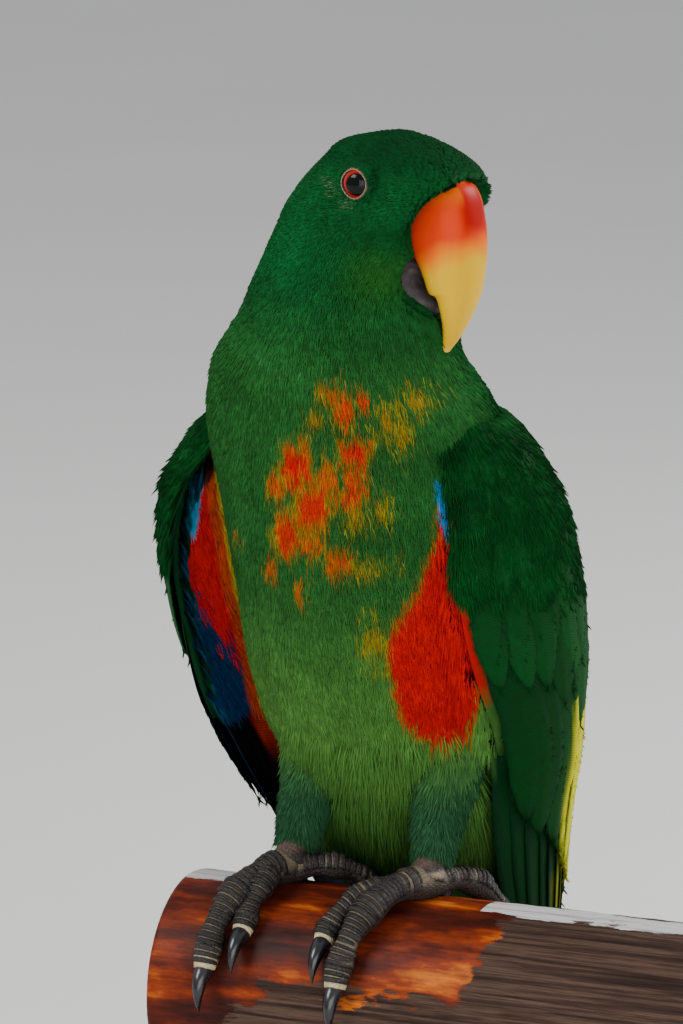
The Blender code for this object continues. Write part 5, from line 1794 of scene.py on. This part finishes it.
def makeFeet():
    plate = scuteTemplate()
    tree = scuteTree(plate)
    chance = np.random.default_rng(62)
    for side, label in ((-1, "right"), (1, "left")):
        foot = legPoint(side, legSettings["foot"])
        knee = legPoint(side, legSettings["thighEnd"])
        radii = np.interp(np.linspace(0, 1, 24), (0, 0.25, 0.5, 0.8, 1), legSettings["ankleRadii"])
        path = foot + (knee - foot) * np.linspace(-0.35, 0.55, 24)[:, None]
        ankle = tubeRings(path, radii * mm, 32, (0, 1, 0))
        pieces = [loftMesh("ankle", ankle, finishes["foot"], footTint(ankle.reshape(-1, 3)))]
        scuteRows = []
        for toe in toes[label]:
            piece, row = makeToe(side, label, toe, chance)
            pieces.append(piece)
            scuteRows.append(row)
        skin = joinPieces(label + "Foot", pieces)
        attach(skin, "root")
        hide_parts("foot_" + label, "shank_" + label)
        scutes = layScutes(label + "Scutes", *(np.concatenate(values) for values in zip(*scuteRows)), tree)
        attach(scutes, "root")
    bpy.data.objects.remove(plate)
    print("feet made")


def footTint(points):
    # dark skin, warmer above, with a pale fold over the left foot
    height = (points[:, 2] - railTop) / mm
    ring = smoothStep(5.2, 5.9, height) * smoothStep(7.6, 6.9, height) * (points[:, 0] > 0)
    tint = mix(np.array((0.022, 0.017, 0.015)), np.array((0.085, 0.05, 0.04)), smoothStep(7.5, 9.5, height))
    return mix(tint, np.array((0.24, 0.19, 0.13)), ring)


def toeTint(rings, part):
    # pale between the scutes on the upper side, and a pale cuff at the claw
    upper = np.sin(np.linspace(0, math.tau, rings.shape[1], endpoint=False))[None] + np.zeros(rings.shape[:2])
    base = mix(np.array((0.024, 0.018, 0.015)), np.array((0.14, 0.105, 0.062)), smoothStep(-0.1, 0.4, upper))
    end = smoothStep(0.9, 0.97, part)[:, None] + np.zeros(rings.shape[1])[None]
    return mix(base, paint(196, 180, 138), end).reshape(-1, 3)


def makeClaw(label, toe, path, outward):
    # a curved, tapering claw that goes on from the toe's end
    steps, sides = 40, 24
    ahead = unit(path[-1] - path[-2])
    out = outward[-1]
    axis = Vector(np.cross(ahead, out))
    place = path[-1] + ahead * 0.3 * mm + out * 0.3 * mm
    points = [place - ahead * 1.2 * mm]
    radii = [legSettings["clawRadius"] * 0.9]
    way = Vector(ahead)
    for step in range(steps + 1):
        part = step / steps
        points.append(place.copy())
        radii.append(legSettings["clawRadius"] * (1 - part ** 1.5) + 0.1)
        bend = math.radians(legSettings["clawCurl"]) * (legSettings["clawSplit"] - part)
        onward = np.array(Matrix.Rotation(bend, 3, axis) @ way)
        place = place + onward * legSettings["clawLength"] / steps * mm
    points = np.array(points)
    rings = tubeRings(points, np.array(radii) * mm, sides, np.cross(ahead, out))
    part = np.linspace(0, 1, len(points))[:, None] + np.zeros(sides)[None]
    tint = mix(paint(36, 34, 40), paint(8, 9, 12), smoothStep(0.05, 0.4, part))
    claw = loftMesh(f"{label}Claw{toe[0].title().replace('_', '')}", rings, finishes["claw"], tint)
    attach(claw, "root")
    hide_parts(f"claw_{label}_{toe[0]}")


# Rail and stand: the rail's ends, its flat's depth and angle, its edges' rounding and its grid
railSettings = {
    "ends": (-48, 114),
    "flatDepth": 24,
    "flatAngle": 48,
    "edge": 1.8,
    "rows": 220,
    "sides": 160,
}


def makeRail():
    low, high = railSettings["ends"]
    count, sides = railSettings["rows"], railSettings["sides"]
    part = np.linspace(0, 1, count)
    x = low + (high - low) * (part - 0.02 * np.sin(part * math.tau))
    edge = railSettings["edge"]
    nearEnd = np.maximum(edge - np.minimum(x - low, high - x), 0)
    inset = edge - np.sqrt(np.maximum(edge ** 2 - nearEnd ** 2, 0))
    angle = np.linspace(0, math.tau, sides, endpoint=False)
    flatWay = math.radians(-90 - (90 - railSettings["flatAngle"]))
    turn = np.abs((angle - flatWay + math.pi) % math.tau - math.pi)
    radius = np.minimum(railRadius / mm, railSettings["flatDepth"] / np.maximum(np.cos(turn), 0.2))
    spread = (radius[None] - inset[:, None]) * mm
    around, above = np.cos(angle)[None] + 0 * spread, np.sin(angle)[None] + 0 * spread
    points = np.stack((x[:, None] * mm + 0 * spread, spread * around, railCentre + spread * above), -1)
    flat = points.reshape(-1, 3)
    wear = waves(flat * np.array((0.12, 1, 1)), 2.2 * mm, 41) * 0.07 + waves(flat, 12 * mm, 42) * 0.1
    outward = unit(np.stack((0 * spread, around, above), -1))
    points = points + outward * ((wear.reshape(count, sides) - 0.15) * mm)[..., None]
    rail = loftMesh("rail", points, finishes["rail"])
    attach(rail, "root")
    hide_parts("perch")
    for node, finish in (("stand_base", "base"), ("stand_rod_1", "steel"), ("stand_rod_2", "steel")):
        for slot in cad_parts[node].material_slots:
            slot.material = finishes[finish]
    print("rail and stand made")


# Floor, light and camera
lightSettings = {
    # each lamp's place, size, power and gloss
    "lamps": {
        "key": ((-0.8, -1.0, 1.3), 0.8, 18, 1),
        "fill": ((1.1, -1.0, 0.5), 0.9, 6, 1),
        "front": ((0.45, -1.25, 0.35), 0.8, 5, 0),
        "rim": ((0.75, 0.9, 0.85), 0.5, 14, 1),
    },
    "world": (0.88, 0.9, 0.92),
    "worldStrength": 0.62,
    "floor": (0.78, 0.77, 0.75),
}


def makeStudio():
    bpy.ops.mesh.primitive_plane_add(size=12)
    floor = bpy.context.object
    floor.name = "floor"
    shade = Shade("paleFloor")
    grain = shade.noise(4, 3)
    light = tuple(value * 1.03 for value in lightSettings["floor"])
    colour = shade.ramp(grain, ((0.3, lightSettings["floor"]), (0.7, light)))
    floor.data.materials.append(shade.finish(colour, Roughness=0.85))
    aim = Vector((0, 0, railTop + 90 * mm))
    for name, (place, size, power, gloss) in lightSettings["lamps"].items():
        data = bpy.data.lights.new(name, "AREA")
        data.size = size
        data.energy = power
        data.specular_factor = gloss
        lamp = addObject(name, data)
        lamp.location = place
        lamp.rotation_euler = (Vector(place) - aim).to_track_quat("Z", "Y").to_euler()
    world = bpy.data.worlds.new("studio")
    world.use_nodes = True
    back = world.node_tree.nodes["Background"]
    back.inputs["Color"].default_value = (*lightSettings["world"], 1)
    back.inputs["Strength"].default_value = lightSettings["worldStrength"]
    bpy.context.scene.world = world


def makeCamera():
    data = bpy.data.cameras.new("camera")
    data.sensor_width = viewSettings["sensor"]
    tall = imageHeight / viewSettings["pixelsPerMetre"]
    data.lens = viewSettings["sensor"] * viewSettings["distance"] / tall
    camera = addObject("camera", data)
    target = Vector((0, 0, railTop)) + viewRight * aimAcross + viewUp * aimUp
    camera.location = target + viewBack * viewSettings["distance"]
    camera.rotation_euler = viewBack.to_track_quat("Z", "Y").to_euler()
    bpy.context.scene.camera = camera


makeCamera()
makeStudio()
makeSkin()
makeBill()
makeEyes()
makeCoat()
makeWings()
makeTail()
makeFeet()
makeRail()

bpy.context.view_layer.update()
